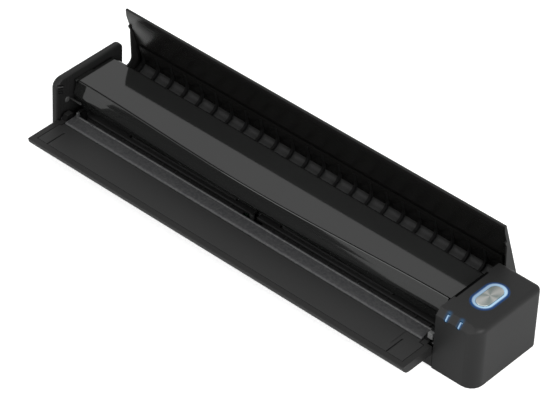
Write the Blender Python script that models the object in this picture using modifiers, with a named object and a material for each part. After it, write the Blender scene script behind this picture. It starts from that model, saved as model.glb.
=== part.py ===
# Portable sheet-fed document scanner with a front feeding guide and a rear output guide.
# Frame: X along the body (the control block is at +X), Y from front to back, Z up.
# The body is drawn around x = 0, y = 0 with the case underside at z = 0. Both guides are
# drawn shut, and their hinge empties turn them to the open pose that is the rest pose.
# At the end the whole part is moved so that its box stands centred on the origin.
import math

import bmesh
import bpy
from mathutils import Matrix, Vector

MM = 0.001

# Body envelope
BODY_LENGTH = 273 * MM
BODY_DEPTH = 47.5 * MM
BODY_HEIGHT = 36 * MM
CHEEK_WIDTH = 3.9 * MM
BLOCK_LENGTH = 24.9 * MM
WALL = 2 * MM
THIN_WALL = 1.6 * MM
GAP = 0.3 * MM
OVERRUN = 1 * MM
SINK = 0.4 * MM
ARC_STEP = math.radians(18)

LEFT = -BODY_LENGTH / 2
RIGHT = BODY_LENGTH / 2
FRONT = -BODY_DEPTH / 2
BACK = BODY_DEPTH / 2
BAY_LEFT = LEFT + CHEEK_WIDTH
BAY_RIGHT = RIGHT - BLOCK_LENGTH
BAY_LENGTH = BAY_RIGHT - BAY_LEFT
SCAN_CENTRE = (BAY_LEFT + BAY_RIGHT) / 2

# Paper path and driven rollers
PAPER_HEIGHT = 14 * MM
ROLLER_PROUD = 0.3 * MM
ROLLER_RADIUS = 3.6 * MM
SHAFT_RADIUS = 1.5 * MM
PINCH_RADIUS = 2.2 * MM
PINCH_SHAFT_RADIUS = 1 * MM
FEED_Y = -6.3 * MM
EJECT_Y = 9.6 * MM
ROLLER_Z = PAPER_HEIGHT + ROLLER_PROUD - ROLLER_RADIUS
PINCH_Z = PAPER_HEIGHT + ROLLER_PROUD + GAP + PINCH_RADIUS

# Hinges, drawn with the guides shut
FEEDING_OPEN = math.radians(90)
OUTPUT_OPEN = math.radians(71.6)
FEEDING_HINGE_INSET = 3.55 * MM
FEEDING_HINGE_Z = 11.5 * MM
OUTPUT_HINGE_INSET = 5.9 * MM
OUTPUT_HINGE_Z = 15.5 * MM
COVER_HINGE_INSET = 11.25 * MM
COVER_HINGE_Z = 20 * MM
PIN_RADIUS = 1.2 * MM
FEEDING_HINGE_Y = FRONT + FEEDING_HINGE_INSET
OUTPUT_HINGE_Y = BACK - OUTPUT_HINGE_INSET
COVER_HINGE_Y = BACK - COVER_HINGE_INSET


def clear_scene():
    for obj in list(bpy.data.objects):
        bpy.data.objects.remove(obj, do_unlink=True)


def new_collection(name):
    group = bpy.data.collections.new(name)
    bpy.context.scene.collection.children.link(group)
    return group


clear_scene()
PARTS = new_collection("sheet_fed_scanner")
CUTTERS = new_collection("cutters")


def finish(name, color, roughness, metallic=0.0):
    mat = bpy.data.materials.new(name)
    mat.use_nodes = True
    shader = mat.node_tree.nodes["Principled BSDF"]
    shader.inputs["Base Color"].default_value = (*color, 1)
    shader.inputs["Roughness"].default_value = roughness
    shader.inputs["Metallic"].default_value = metallic
    return mat


SATIN_BLACK = finish("satin_black", (0.045, 0.045, 0.045), 0.5)
GLOSS_BLACK = finish("gloss_black", (0.012, 0.012, 0.012), 0.08)
INNER_BLACK = finish("inner_black", (0.02, 0.02, 0.02), 0.6)
RAMP_GREY = finish("ramp_grey", (0.07, 0.07, 0.075), 0.45)
RUBBER = finish("rubber", (0.03, 0.03, 0.03), 0.85)
STEEL = finish("steel", (0.6, 0.6, 0.6), 0.3, 1.0)
BRASS = finish("brass", (0.7, 0.5, 0.2), 0.3, 1.0)
NYLON = finish("nylon", (0.75, 0.74, 0.7), 0.5)
GLASS = finish("glass", (0.6, 0.7, 0.7), 0.05)
BOARD_GREEN = finish("board_green", (0.03, 0.16, 0.08), 0.5)
CELL_BLUE = finish("cell_blue", (0.05, 0.12, 0.3), 0.4)
LIGHT_BLUE = finish("light_blue", (0.35, 0.6, 0.95), 0.3)
BRUSHED_SILVER = finish("brushed_silver", (0.66, 0.66, 0.64), 0.35, 1.0)
WHITE = finish("white", (0.85, 0.85, 0.83), 0.5)


def corner_arc(before, corner, after, radius):
    """Points of the round that replaces one corner of an outline."""
    here = Vector(corner)
    back = (Vector(before) - here).normalized()
    ahead = (Vector(after) - here).normalized()
    half = back.angle(ahead) / 2
    centre = here + (back + ahead).normalized() * (radius / math.sin(half))
    start = here + back * (radius / math.tan(half))
    turn = math.pi - 2 * half
    side = 1 if back.x * ahead.y - back.y * ahead.x < 0 else -1
    steps = max(2, math.ceil(turn / ARC_STEP))
    arm = start - centre
    spins = (Matrix.Rotation(side * turn * i / steps, 2) for i in range(steps + 1))
    return [tuple(centre + spin @ arm) for spin in spins]


def rounded(corners, closed=True):
    """Outline points from (a, b) or (a, b, radius) corners."""
    points = []
    last = len(corners) - 1
    for i, corner in enumerate(corners):
        ends_open = not closed and i in (0, last)
        if len(corner) == 2 or ends_open:
            points.append(tuple(corner[:2]))
        else:
            after = corners[0 if i == last else i + 1]
            points += corner_arc(corners[i - 1][:2], corner[:2], after[:2], corner[2])
    spread = [point for i, point in enumerate(points)
              if (Vector(point) - Vector(points[i - 1])).length > GAP / 100]
    return spread


def circle(radius, sides, centre=(0, 0)):
    steps = (2 * math.pi * i / sides for i in range(sides))
    return [(centre[0] + radius * math.cos(a), centre[1] + radius * math.sin(a)) for a in steps]


def stadium(length, width):
    """Long round-ended outline, its length along the second axis."""
    half_l = length / 2
    half_w = width / 2
    return rounded([(-half_w, -half_l, half_w), (half_w, -half_l, half_w),
                    (half_w, half_l, half_w), (-half_w, half_l, half_w)])


TURNS = {
    "X": Matrix(((0, 0, 1), (1, 0, 0), (0, 1, 0))).to_4x4(),
    "Y": Matrix(((1, 0, 0), (0, 0, 1), (0, 1, 0))).to_4x4(),
    "Z": Matrix.Identity(4),
}


def add_object(name, mesh, mat, place=(0, 0, 0), group=None):
    obj = bpy.data.objects.new(name, mesh)
    (group or PARTS).objects.link(obj)
    obj.location = place
    if mat:
        mesh.materials.clear()
        mesh.materials.append(mat)
    return obj


def prism(name, loops, low, high, mat=None, axis="X", place=(0, 0, 0), group=None):
    """Flat outline, with any holes, extruded from low to high along an axis.

    On X the outline is (y, z), on Z it is (x, y), and on Y it is (x, z)."""
    shape = bmesh.new()
    if len(loops) == 1:
        shape.faces.new([shape.verts.new((a, b, low)) for a, b in loops[0]])
    else:
        rims = []
        for loop in loops:
            ring = [shape.verts.new((a, b, low)) for a, b in loop]
            rims += [shape.edges.new(pair) for pair in zip(ring, ring[1:] + ring[:1])]
        bmesh.ops.triangle_fill(shape, use_beauty=True, use_dissolve=False, edges=rims)
    grown = bmesh.ops.extrude_face_region(shape, geom=list(shape.faces), use_keep_orig=True)
    moved = [item for item in grown["geom"] if isinstance(item, bmesh.types.BMVert)]
    bmesh.ops.translate(shape, verts=moved, vec=(0, 0, high - low))
    bmesh.ops.recalc_face_normals(shape, faces=shape.faces)
    mesh = bpy.data.meshes.new(name)
    shape.to_mesh(mesh)
    shape.free()
    mesh.transform(TURNS[axis])
    if axis == "Y":
        mesh.flip_normals()
    return add_object(name, mesh, mat, place, group)


def block(name, x, y, z, mat=None, group=None):
    """Box between two values on each axis."""
    shape = bmesh.new()
    bmesh.ops.create_cube(shape, size=1)
    for vert in shape.verts:
        for i, (low, high) in enumerate((x, y, z)):
            vert.co[i] = low if vert.co[i] < 0 else high
    mesh = bpy.data.meshes.new(name)
    shape.to_mesh(mesh)
    shape.free()
    return add_object(name, mesh, mat, group=group)


def rod(name, radius, low, high, centre, mat=None, axis="X", sides=20, group=None):
    """Round bar between two values on an axis; centre holds the two other values."""
    return prism(name, [circle(radius, sides, centre)], low, high, mat, axis, group=group)


def turned(name, profile, mat, place=(0, 0, 0), axis="X", sides=24, ring=False):
    """Body of revolution from (radius, distance) points listed from the far end back."""
    mesh = bpy.data.meshes.new(name)
    verts = [(r, 0, h) for r, h in profile]
    edges = [(i, i + 1) for i in range(len(profile) - 1)]
    if ring:
        edges.append((len(profile) - 1, 0))
    mesh.from_pydata(verts, edges, [])
    obj = add_object(name, mesh, mat, place)
    if axis == "X":
        obj.rotation_euler = (0, math.pi / 2, 0)
    screw = obj.modifiers.new("turn", "SCREW")
    screw.steps = sides
    screw.render_steps = sides
    screw.use_merge_vertices = True
    screw.merge_threshold = GAP / 100
    screw.use_smooth_shade = False
    return obj


def combine(target, tool, operation):
    step = target.modifiers.new(operation.lower(), "BOOLEAN")
    step.operation = operation
    step.object = tool
    step.solver = "EXACT"
    for group in list(tool.users_collection):
        group.objects.unlink(tool)
    CUTTERS.objects.link(tool)
    tool.hide_render = True
    tool.display_type = "WIRE"


def cut(target, *tools):
    for tool in tools:
        combine(target, tool, "DIFFERENCE")


def join(target, *tools):
    for tool in tools:
        combine(target, tool, "UNION")


def soften(obj, width, segments=2):
    """Round the square edges of a plain prism or box."""
    step = obj.modifiers.new("soften", "BEVEL")
    step.width = width
    step.segments = segments
    step.limit_method = "ANGLE"
    step.angle_limit = math.radians(50)
    return obj


def hang(pivot, *pieces):
    """Parent pieces, and the tools that shape them, to a hinge empty without moving them."""
    for piece in pieces:
        tools = [step.object for step in piece.modifiers if step.type == "BOOLEAN"]
        for obj in (piece, *tools):
            obj.parent = pivot
            obj.location = obj.location - pivot.location


def empty(name, place, parent=None):
    obj = bpy.data.objects.new(name, None)
    PARTS.objects.link(obj)
    obj.location = place
    obj.parent = parent
    return obj


# Bottom case: the tray under the whole paper path, with a tongue that floors the block.
CASE_FRONT_HEIGHT = 10.9 * MM
CASE_REAR_HEIGHT = 7 * MM
SHELF_DEPTH = 5.4 * MM
BEARING_INSET = 2.3 * MM
BEARING_THICK = 1.5 * MM
BEARING_FRONT = -12.2 * MM
BEARING_REAR = 13.2 * MM
BEARING_TOP = 13 * MM
BEARING_RIB = 1 * MM
BEARING_RIB_HEIGHT = 2.6 * MM
TONGUE_INSET = 2.3 * MM
TONGUE_TURN = 5 * MM
FOOT_RADIUS = 4 * MM
FOOT_PROUD = 0.5 * MM
FOOT_RECESS = 0.7 * MM
FOOT_INSET_X = 16 * MM
FOOT_INSET_Y = 7 * MM
BEARING_BORE_GAP = 0.15 * MM

BEARING_XS = {
    "left": (BAY_LEFT + BEARING_INSET, BAY_LEFT + BEARING_INSET + BEARING_THICK),
    "right": (BAY_RIGHT - BEARING_INSET - BEARING_THICK, BAY_RIGHT - BEARING_INSET),
}
CASE_LEFT = BAY_LEFT + GAP
CASE_RIGHT = BAY_RIGHT - GAP

# Screws from below: two hold the entry ramp and two the block.
SCREW_SHANK = 0.9 * MM
SCREW_HEAD = 2 * MM
SCREW_HEAD_THICK = 0.8 * MM
SCREW_LENGTH = 8 * MM
POST_RADIUS = 2.6 * MM
POST_INSET_LEFT = 24 * MM
POST_INSET_RIGHT = 13 * MM
RAMP_POST_Y = -17.2 * MM
GUIDE_POST_Y = 1.2 * MM
GUIDE_POST_INSET = 8.2 * MM
BLOCK_POST_INSET = 5.8 * MM
BLOCK_POST_SIDE = 4.9 * MM
SCREW_SPOTS = {
    "ramp_screw_left": (BAY_LEFT + POST_INSET_LEFT, RAMP_POST_Y),
    "ramp_screw_right": (BAY_RIGHT - POST_INSET_RIGHT, RAMP_POST_Y),
    "block_screw_front": (RIGHT - BLOCK_POST_SIDE, FRONT + BLOCK_POST_INSET),
    "block_screw_rear": (RIGHT - BLOCK_POST_SIDE, BACK - BLOCK_POST_INSET),
}
FOOT_SPOTS = {
    "foot_front_left": (LEFT + FOOT_INSET_X, FRONT + FOOT_INSET_Y),
    "foot_rear_left": (LEFT + FOOT_INSET_X, BACK - FOOT_INSET_Y),
    "foot_front_right": (RIGHT - FOOT_INSET_X, FRONT + FOOT_INSET_Y),
    "foot_rear_right": (RIGHT - FOOT_INSET_X, BACK - FOOT_INSET_Y),
}


def make_bottom_case():
    inner_front = FRONT + WALL
    inner_back = BACK - WALL
    shelf_front = inner_back - SHELF_DEPTH
    shelf_under = CASE_REAR_HEIGHT - THIN_WALL
    section = [(FRONT, 0, WALL / 2), (BACK, 0, WALL / 2), (BACK, CASE_REAR_HEIGHT),
               (shelf_front, CASE_REAR_HEIGHT), (shelf_front, shelf_under),
               (inner_back, shelf_under), (inner_back, WALL), (inner_front, WALL),
               (inner_front, CASE_FRONT_HEIGHT), (FRONT, CASE_FRONT_HEIGHT)]
    case = prism("bottom_case", [rounded(section)], CASE_LEFT, CASE_RIGHT, SATIN_BLACK)

    tongue_front = FRONT + TONGUE_INSET
    tongue_back = BACK - TONGUE_INSET
    tongue_right = RIGHT - TONGUE_INSET
    tongue_left = CASE_RIGHT - WALL
    plan = rounded([(tongue_left, tongue_front), (tongue_right, tongue_front, TONGUE_TURN),
                    (tongue_right, tongue_back, WALL), (tongue_left, tongue_back)])
    join(case, prism("tongue_tool", [plan], GAP, WALL, axis="Z"))

    for low, high in BEARING_XS.values():
        for start in (low - GAP - BEARING_RIB, high + GAP):
            join(case, block("bearing_rib_tool", (start, start + BEARING_RIB),
                             (BEARING_FRONT, BEARING_REAR),
                             (WALL - SINK, WALL + BEARING_RIB_HEIGHT)))

    for low, high in ARM_XS.values():
        cut(case, block("arm_notch_tool", (low - ARM_CLEARANCE, high + ARM_CLEARANCE),
                        (FRONT - OVERRUN, inner_front + OVERRUN),
                        (FEEDING_HINGE_Z - FEEDING_HINGE_INSET - ARM_CLEARANCE,
                         CASE_FRONT_HEIGHT + OVERRUN)))
    for spot in FOOT_SPOTS.values():
        cut(case, rod("foot_recess_tool", FOOT_RADIUS + GAP, -OVERRUN, FOOT_RECESS, spot,
                      axis="Z"))
    for spot in SCREW_SPOTS.values():
        cut(case, rod("screw_hole_tool", SCREW_SHANK + GAP, -OVERRUN, WALL + OVERRUN, spot,
                      axis="Z", sides=12))
        cut(case, rod("screw_head_tool", SCREW_HEAD + GAP, -OVERRUN,
                      GAP + SCREW_HEAD_THICK + GAP, spot, axis="Z"))
    return case


# Feeding guide arms stand outside the paper width at both ends of the bay.
ARM_THICK = 3 * MM
ARM_CLEARANCE = 0.5 * MM
ARM_INSET_LEFT = 1.8 * MM
ARM_INSET_RIGHT = 3.4 * MM
ARM_XS = {
    "left": (BAY_LEFT + ARM_INSET_LEFT, BAY_LEFT + ARM_INSET_LEFT + ARM_THICK),
    "right": (BAY_RIGHT - ARM_INSET_RIGHT - ARM_THICK, BAY_RIGHT - ARM_INSET_RIGHT),
}


def make_foot(name, spot):
    """Rubber foot pressed into its recess."""
    tall = FOOT_PROUD + FOOT_RECESS - GAP
    lip = FOOT_RADIUS - FOOT_PROUD
    profile = [(0, tall), (FOOT_RADIUS, tall), (FOOT_RADIUS, FOOT_PROUD), (lip, 0), (0, 0)]
    return turned(name, profile, RUBBER, (*spot, -FOOT_PROUD), axis="Z")


def make_screw(name, spot):
    """Pan-head screw, head down, with a drive recess."""
    recess = SCREW_HEAD / 3
    profile = [(0, SCREW_LENGTH), (SCREW_SHANK / 2, SCREW_LENGTH),
               (SCREW_SHANK, SCREW_LENGTH - SCREW_SHANK), (SCREW_SHANK, SCREW_HEAD_THICK),
               (SCREW_HEAD, SCREW_HEAD_THICK), (SCREW_HEAD, SCREW_HEAD_THICK / 3),
               (SCREW_HEAD - SCREW_HEAD_THICK / 3, 0), (recess, 0),
               (recess, SCREW_HEAD_THICK / 2), (0, SCREW_HEAD_THICK / 2)]
    return turned(name, profile, STEEL, (*spot, GAP), axis="Z", sides=12)


# Left end cap: a flat cheek of the full section, with pin sockets and two locating tabs.
CHEEK_TOP_FRONT = 5 * MM
CHEEK_TOP_BACK = 3.5 * MM
CHEEK_BOTTOM = 1 * MM
CHEEK_EDGE = 0.9 * MM
SOCKET_DEPTH = 2.4 * MM
TAB_LENGTH = 3 * MM
TAB_WIDTH = 6 * MM
TAB_THICK = 1.4 * MM
TAB_SPREAD = 17.5 * MM
STOP_RADIUS = 1.3 * MM
STOP_LENGTH = 1 * MM
STOP_Y = -16.8 * MM
STOP_DROP = 13.9 * MM
CATCH_FRONT = 1.6 * MM
CATCH_WIDTH = 1.1 * MM
CATCH_DEPTH = 0.5 * MM
CATCH_LOW = 8.2 * MM
CATCH_HIGH = 3.6 * MM
HINGE_SPOTS = {
    "feeding": (FEEDING_HINGE_Y, FEEDING_HINGE_Z),
    "output": (OUTPUT_HINGE_Y, OUTPUT_HINGE_Z),
    "cover": (COVER_HINGE_Y, COVER_HINGE_Z),
}


def make_end_cap():
    section = rounded([(FRONT, 0, CHEEK_BOTTOM), (BACK, 0, CHEEK_BOTTOM),
                       (BACK, BODY_HEIGHT, CHEEK_TOP_BACK), (FRONT, BODY_HEIGHT, CHEEK_TOP_FRONT)])
    cap = prism("left_end_cap", [section], LEFT, BAY_LEFT, SATIN_BLACK)
    soften(cap, CHEEK_EDGE)
    for side in (-1, 1):
        join(cap, block("cap_tab_tool", (BAY_LEFT - SINK, BAY_LEFT + TAB_LENGTH),
                        (side * TAB_SPREAD - TAB_WIDTH / 2, side * TAB_SPREAD + TAB_WIDTH / 2),
                        (WALL + GAP, WALL + GAP + TAB_THICK)))
    for spot in HINGE_SPOTS.values():
        cut(cap, rod("cap_socket_tool", PIN_RADIUS + GAP, BAY_LEFT - SOCKET_DEPTH,
                     BAY_LEFT + OVERRUN, spot, sides=16))
    join(cap, rod("guide_stop_tool", STOP_RADIUS, BAY_LEFT - SINK, BAY_LEFT + STOP_LENGTH,
                  (STOP_Y, BODY_HEIGHT - STOP_DROP), sides=16))
    cut(cap, block("catch_tool", (BAY_LEFT - CATCH_DEPTH, BAY_LEFT + OVERRUN),
                   (FRONT + CATCH_FRONT, FRONT + CATCH_FRONT + CATCH_WIDTH),
                   (BODY_HEIGHT - CATCH_LOW, BODY_HEIGHT - CATCH_HIGH)))
    return cap


# Control block housing: a box shell open below, dropped over the tongue of the case.
BLOCK_TURN_FRONT = 7 * MM
BLOCK_TURN_BACK = 3 * MM
BLOCK_TOP_ROUND = 2.5 * MM
BLOCK_SIDE_WALL = 1.8 * MM
BUTTON_Y = 0.5 * MM
BUTTON_INSET = 13 * MM
RING_LENGTH = 20.6 * MM
RING_WIDTH = 11.4 * MM
RING_WALL = 1.5 * MM
RING_PROUD = 0.25 * MM
LED_INSETS = (19.2 * MM, 11.8 * MM)
LED_WIDTH = 1.1 * MM
LED_DROP = 1.1 * MM
LED_HEIGHT = 2.9 * MM
LED_TOP = BODY_HEIGHT - LED_DROP
LED_BOTTOM = LED_TOP - LED_HEIGHT
LED_NAMES = ("status_light_left", "status_light_right")
USB_INSET = 18.4 * MM
USB_WIDTH = 7.6 * MM
USB_HEIGHT = 2.8 * MM
USB_Z = 7.2 * MM
SWITCH_INSET = 10.9 * MM
SWITCH_TRAVEL = 2.5 * MM
SWITCH_WIDTH = 2.6 * MM
SWITCH_HEIGHT = 2 * MM
SWITCH_Z = 6.6 * MM
SWITCH_PROUD = 0.5 * MM
SETUP_RADIUS = 1.2 * MM
SETUP_Z = 12.2 * MM
SETUP_PROUD = 0.3 * MM
CONNECTOR_BOARD_INSET = 5.2 * MM
BOARD_THICK = 1.2 * MM
BUTTON_BOARD_DROP = 7.8 * MM

BUTTON_X = RIGHT - BUTTON_INSET
USB_X = RIGHT - USB_INSET
SWITCH_X = RIGHT - SWITCH_INSET
BLOCK_INNER_LEFT = BAY_RIGHT + BLOCK_SIDE_WALL
BLOCK_INNER_RIGHT = RIGHT - WALL
BLOCK_CEILING = BODY_HEIGHT - WALL
BUTTON_BOARD_Z = BODY_HEIGHT - BUTTON_BOARD_DROP
BUTTON_BOARD_TOP = BUTTON_BOARD_Z + BOARD_THICK


def make_housing():
    stock_left = BAY_RIGHT - BLOCK_TURN_FRONT
    plan = rounded([(stock_left, FRONT), (RIGHT, FRONT, BLOCK_TURN_FRONT),
                    (RIGHT, BACK, BLOCK_TURN_BACK), (stock_left, BACK)])
    housing = prism("control_housing", [plan], 0, BODY_HEIGHT, SATIN_BLACK, axis="Z")
    shape = bmesh.new()
    shape.from_mesh(housing.data)
    rim = [edge for edge in shape.edges
           if all(vert.co.z > BODY_HEIGHT - GAP for vert in edge.verts)]
    bmesh.ops.bevel(shape, geom=rim, offset=BLOCK_TOP_ROUND, segments=4, affect="EDGES",
                    profile=0.5)
    shape.to_mesh(housing.data)
    shape.free()
    cut(housing, block("block_trim_tool", (stock_left - OVERRUN, BAY_RIGHT),
                       (FRONT - OVERRUN, BACK + OVERRUN), (-OVERRUN, BODY_HEIGHT + OVERRUN)))

    inner_front = FRONT + WALL
    inner_back = BACK - WALL
    hollow = rounded([(BLOCK_INNER_LEFT, inner_front),
                      (BLOCK_INNER_RIGHT, inner_front, BLOCK_TURN_FRONT - WALL),
                      (BLOCK_INNER_RIGHT, inner_back, BLOCK_TURN_BACK - WALL),
                      (BLOCK_INNER_LEFT, inner_back)])
    cut(housing, prism("block_hollow_tool", [hollow], -OVERRUN, BLOCK_CEILING, axis="Z"))
    cut(housing, block("tongue_way_tool", (BAY_RIGHT - OVERRUN, BLOCK_INNER_LEFT + OVERRUN),
                       (FRONT + TONGUE_INSET - GAP, BACK - TONGUE_INSET + GAP),
                       (-OVERRUN, WALL + GAP)))
    for name in ("block_screw_front", "block_screw_rear"):
        x, y = SCREW_SPOTS[name]
        join(housing, rod("block_post_tool", POST_RADIUS, WALL + GAP, BLOCK_CEILING + SINK,
                          (x, y), axis="Z"))
        cut(housing, rod("block_pilot_tool", SCREW_SHANK + GAP, WALL, SCREW_LENGTH + OVERRUN,
                         (x, y), axis="Z", sides=12))
    for x, y in BOARD_POSTS:
        join(housing, rod("board_post_tool", POST_RADIUS, BUTTON_BOARD_TOP + GAP,
                          BLOCK_CEILING + SINK, (x, y), axis="Z", sides=12))

    seat = stadium(RING_LENGTH + 2 * GAP, RING_WIDTH + 2 * GAP)
    hole = prism("ring_hole_tool", [seat], BLOCK_CEILING - OVERRUN, BODY_HEIGHT + OVERRUN,
                 axis="Z", place=(BUTTON_X, BUTTON_Y, 0))
    cut(housing, hole)
    for inset in LED_INSETS:
        x = RIGHT - inset
        half = LED_WIDTH / 2 + GAP
        cut(housing, block("led_window_tool", (x - half, x + half),
                           (FRONT - OVERRUN, inner_front + OVERRUN),
                           (LED_BOTTOM - GAP, LED_TOP + GAP)))

    low = BAY_RIGHT - OVERRUN
    high = BLOCK_INNER_LEFT + OVERRUN
    for spot in HINGE_SPOTS.values():
        cut(housing, rod("block_socket_tool", PIN_RADIUS + GAP, low, high, spot, sides=16))
    for y in (FEED_Y, EJECT_Y):
        cut(housing, rod("shaft_way_tool", SHAFT_RADIUS + 2 * GAP, low, high, (y, ROLLER_Z),
                         sides=16))

    rear = (inner_back - OVERRUN, BACK + OVERRUN)
    half = USB_WIDTH / 2 + GAP
    tall = USB_HEIGHT / 2 + GAP
    cut(housing, block("usb_window_tool", (USB_X - half, USB_X + half), rear,
                       (USB_Z - tall, USB_Z + tall)))
    half = (SWITCH_WIDTH + SWITCH_TRAVEL) / 2 + GAP
    tall = SWITCH_HEIGHT / 2 + GAP
    cut(housing, block("switch_window_tool", (SWITCH_X - half, SWITCH_X + half), rear,
                       (SWITCH_Z - tall, SWITCH_Z + tall)))
    cut(housing, rod("setup_window_tool", SETUP_RADIUS + GAP, *rear, (SWITCH_X, SETUP_Z),
                     axis="Y", sides=16))
    return housing


# Entry ramp: the paler plate behind the feeding guide, rolled over the front wall.
RAMP_REAR = -12.3 * MM
RAMP_INSET_LEFT = 5.4 * MM
RAMP_INSET_RIGHT = 7.2 * MM
RAMP_THICK = 1.8 * MM
RAMP_ROLL = 1.6 * MM
RAMP_FRONT_GAP = 0.05 * MM
SENSOR_WIDTH = 1.8 * MM
SENSOR_CLEARANCE = 0.7 * MM
SENSOR_HUB_RADIUS = 1.1 * MM
SENSOR_HUB_LENGTH = 8 * MM
SENSOR_PIVOT_DROP = 4.6 * MM
SENSOR_PIVOT_Y = -13.6 * MM
SENSOR_REACH = 6.4 * MM
SENSOR_EAR = 1.5 * MM
SENSOR_AXLE = 0.6 * MM
SENSOR_AXLE_LENGTH = 1.5 * MM
SENSOR_Z = PAPER_HEIGHT - SENSOR_PIVOT_DROP
SENSOR_HALF_SLOT = SENSOR_WIDTH / 2 + SENSOR_CLEARANCE
SENSOR_SLOT_XS = (SCAN_CENTRE - SENSOR_HALF_SLOT, SCAN_CENTRE + SENSOR_HALF_SLOT)


def add_post(target, spot, top, drilled):
    """Post from a guide plate down to the case floor, drilled where a screw holds it."""
    join(target, rod("post_tool", POST_RADIUS, WALL + GAP, top, spot, axis="Z", sides=16))
    if drilled:
        cut(target, rod("pilot_tool", SCREW_SHANK + GAP, WALL, SCREW_LENGTH + OVERRUN, spot,
                        axis="Z", sides=12))


def make_entry_ramp():
    nose = FRONT + RAMP_FRONT_GAP
    under = PAPER_HEIGHT - RAMP_THICK
    lip_low = CASE_FRONT_HEIGHT + GAP
    low = BAY_LEFT + RAMP_INSET_LEFT
    high = BAY_RIGHT - RAMP_INSET_RIGHT
    section = [(RAMP_REAR, PAPER_HEIGHT, GAP), (nose, PAPER_HEIGHT, RAMP_ROLL),
               (nose, lip_low), (nose + RAMP_ROLL, lip_low), (nose + RAMP_ROLL, under),
               (RAMP_REAR, under)]
    ramp = prism("entry_ramp", [rounded(section)], low, high, RAMP_GREY)
    for name in ("ramp_screw_left", "ramp_screw_right"):
        add_post(ramp, SCREW_SPOTS[name], under + SINK, drilled=True)
    ear_front = SENSOR_PIVOT_Y - SENSOR_HUB_RADIUS
    ear_back = SENSOR_PIVOT_Y + SENSOR_HUB_RADIUS
    ear_start = SENSOR_HUB_LENGTH / 2 + GAP
    for side in (-1, 1):
        ends = sorted((SCAN_CENTRE + side * ear_start,
                       SCAN_CENTRE + side * (ear_start + SENSOR_EAR)))
        join(ramp, block("sensor_ear_tool", ends, (ear_front, ear_back),
                         (SENSOR_Z - SENSOR_HUB_RADIUS - GAP, under + SINK)))
        cut(ramp, rod("sensor_bore_tool", SENSOR_AXLE + GAP, ends[0] - OVERRUN / 4,
                      ends[1] + OVERRUN, (SENSOR_PIVOT_Y, SENSOR_Z), sides=12))
    cut(ramp, block("sensor_slot_tool", SENSOR_SLOT_XS,
                    (SENSOR_PIVOT_Y - SENSOR_HUB_RADIUS - GAP, RAMP_REAR + OVERRUN),
                    (under - OVERRUN, PAPER_HEIGHT + OVERRUN)))
    return ramp


def make_sensor_flag():
    """Paper sensor lever: a hub with two stub axles and a thin arm up through the slot."""
    half = SENSOR_HUB_LENGTH / 2
    tip = half + SENSOR_AXLE_LENGTH
    profile = [(0, tip), (SENSOR_AXLE, tip), (SENSOR_AXLE, half), (SENSOR_HUB_RADIUS, half),
               (SENSOR_HUB_RADIUS, -half), (SENSOR_AXLE, -half), (SENSOR_AXLE, -tip), (0, -tip)]
    place = (SCAN_CENTRE, SENSOR_PIVOT_Y, SENSOR_Z)
    flag = turned("paper_sensor_flag", profile, INNER_BLACK, place, sides=12)
    slim = SENSOR_HUB_RADIUS * 0.6
    arm = [(-slim, 0), (slim, 0), (slim, SENSOR_REACH, slim / 2), (-slim, SENSOR_REACH, slim / 2)]
    join(flag, prism("flag_arm_tool", [rounded(arm)], -SENSOR_WIDTH / 2, SENSOR_WIDTH / 2,
                     place=place))
    return flag


# Lower paper guide behind the slot, with roller windows and the white backing strip.
GUIDE_FRONT = -11.9 * MM
GUIDE_REAR = 16 * MM
GUIDE_INSET_LEFT = 4.2 * MM
GUIDE_INSET_RIGHT = 4.3 * MM
GUIDE_SKIRT = 8 * MM
SLEEVE_LENGTH = BAY_LENGTH * 0.287
SLEEVE_SPREAD = BAY_LENGTH * 0.205
WINDOW_MARGIN = 0.4 * MM
STRIP_FRONT = -1.9 * MM
STRIP_REAR = 5.3 * MM
SCAN_MARGIN = 14.1 * MM
SCAN_WIDTH = BAY_LENGTH - 2 * SCAN_MARGIN
STRIP_THICK = 1.3 * MM


def roller_windows(target, y, margin):
    half_chord = math.sqrt(ROLLER_RADIUS ** 2 - (PAPER_HEIGHT - THIN_WALL - ROLLER_Z) ** 2)
    reach = half_chord + margin
    for side in (-1, 1):
        middle = SCAN_CENTRE + side * SLEEVE_SPREAD
        half = SLEEVE_LENGTH / 2 + OVERRUN
        cut(target, block("roller_window_tool", (middle - half, middle + half),
                          (y - reach, y + reach),
                          (PAPER_HEIGHT - THIN_WALL - OVERRUN, PAPER_HEIGHT + OVERRUN)))


def make_lower_guide():
    under = PAPER_HEIGHT - THIN_WALL
    section = [(GUIDE_FRONT, PAPER_HEIGHT, GAP), (GUIDE_FRONT, under),
               (GUIDE_REAR - THIN_WALL, under), (GUIDE_REAR - THIN_WALL, under - GUIDE_SKIRT / 2),
               (GUIDE_REAR, under - GUIDE_SKIRT / 2), (GUIDE_REAR, PAPER_HEIGHT, THIN_WALL)]
    guide = prism("lower_guide", [rounded(section)], BAY_LEFT + GUIDE_INSET_LEFT,
                  BAY_RIGHT - GUIDE_INSET_RIGHT, INNER_BLACK)
    for x in (BAY_LEFT + GUIDE_POST_INSET, BAY_RIGHT - POST_INSET_RIGHT):
        add_post(guide, (x, GUIDE_POST_Y), under + SINK, drilled=False)
    roller_windows(guide, FEED_Y, WINDOW_MARGIN)
    roller_windows(guide, EJECT_Y, WINDOW_MARGIN)
    half = SCAN_WIDTH / 2 - POST_INSET_RIGHT / 2
    cut(guide, block("strip_window_tool", (SCAN_CENTRE - half, SCAN_CENTRE + half),
                     (STRIP_FRONT - GAP, STRIP_REAR + GAP),
                     (PAPER_HEIGHT - STRIP_THICK, PAPER_HEIGHT + OVERRUN)))
    cut(guide, block("flag_slot_tool", SENSOR_SLOT_XS,
                     (GUIDE_FRONT - OVERRUN, FEED_Y), (under - OVERRUN, PAPER_HEIGHT + OVERRUN)))
    return guide


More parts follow.
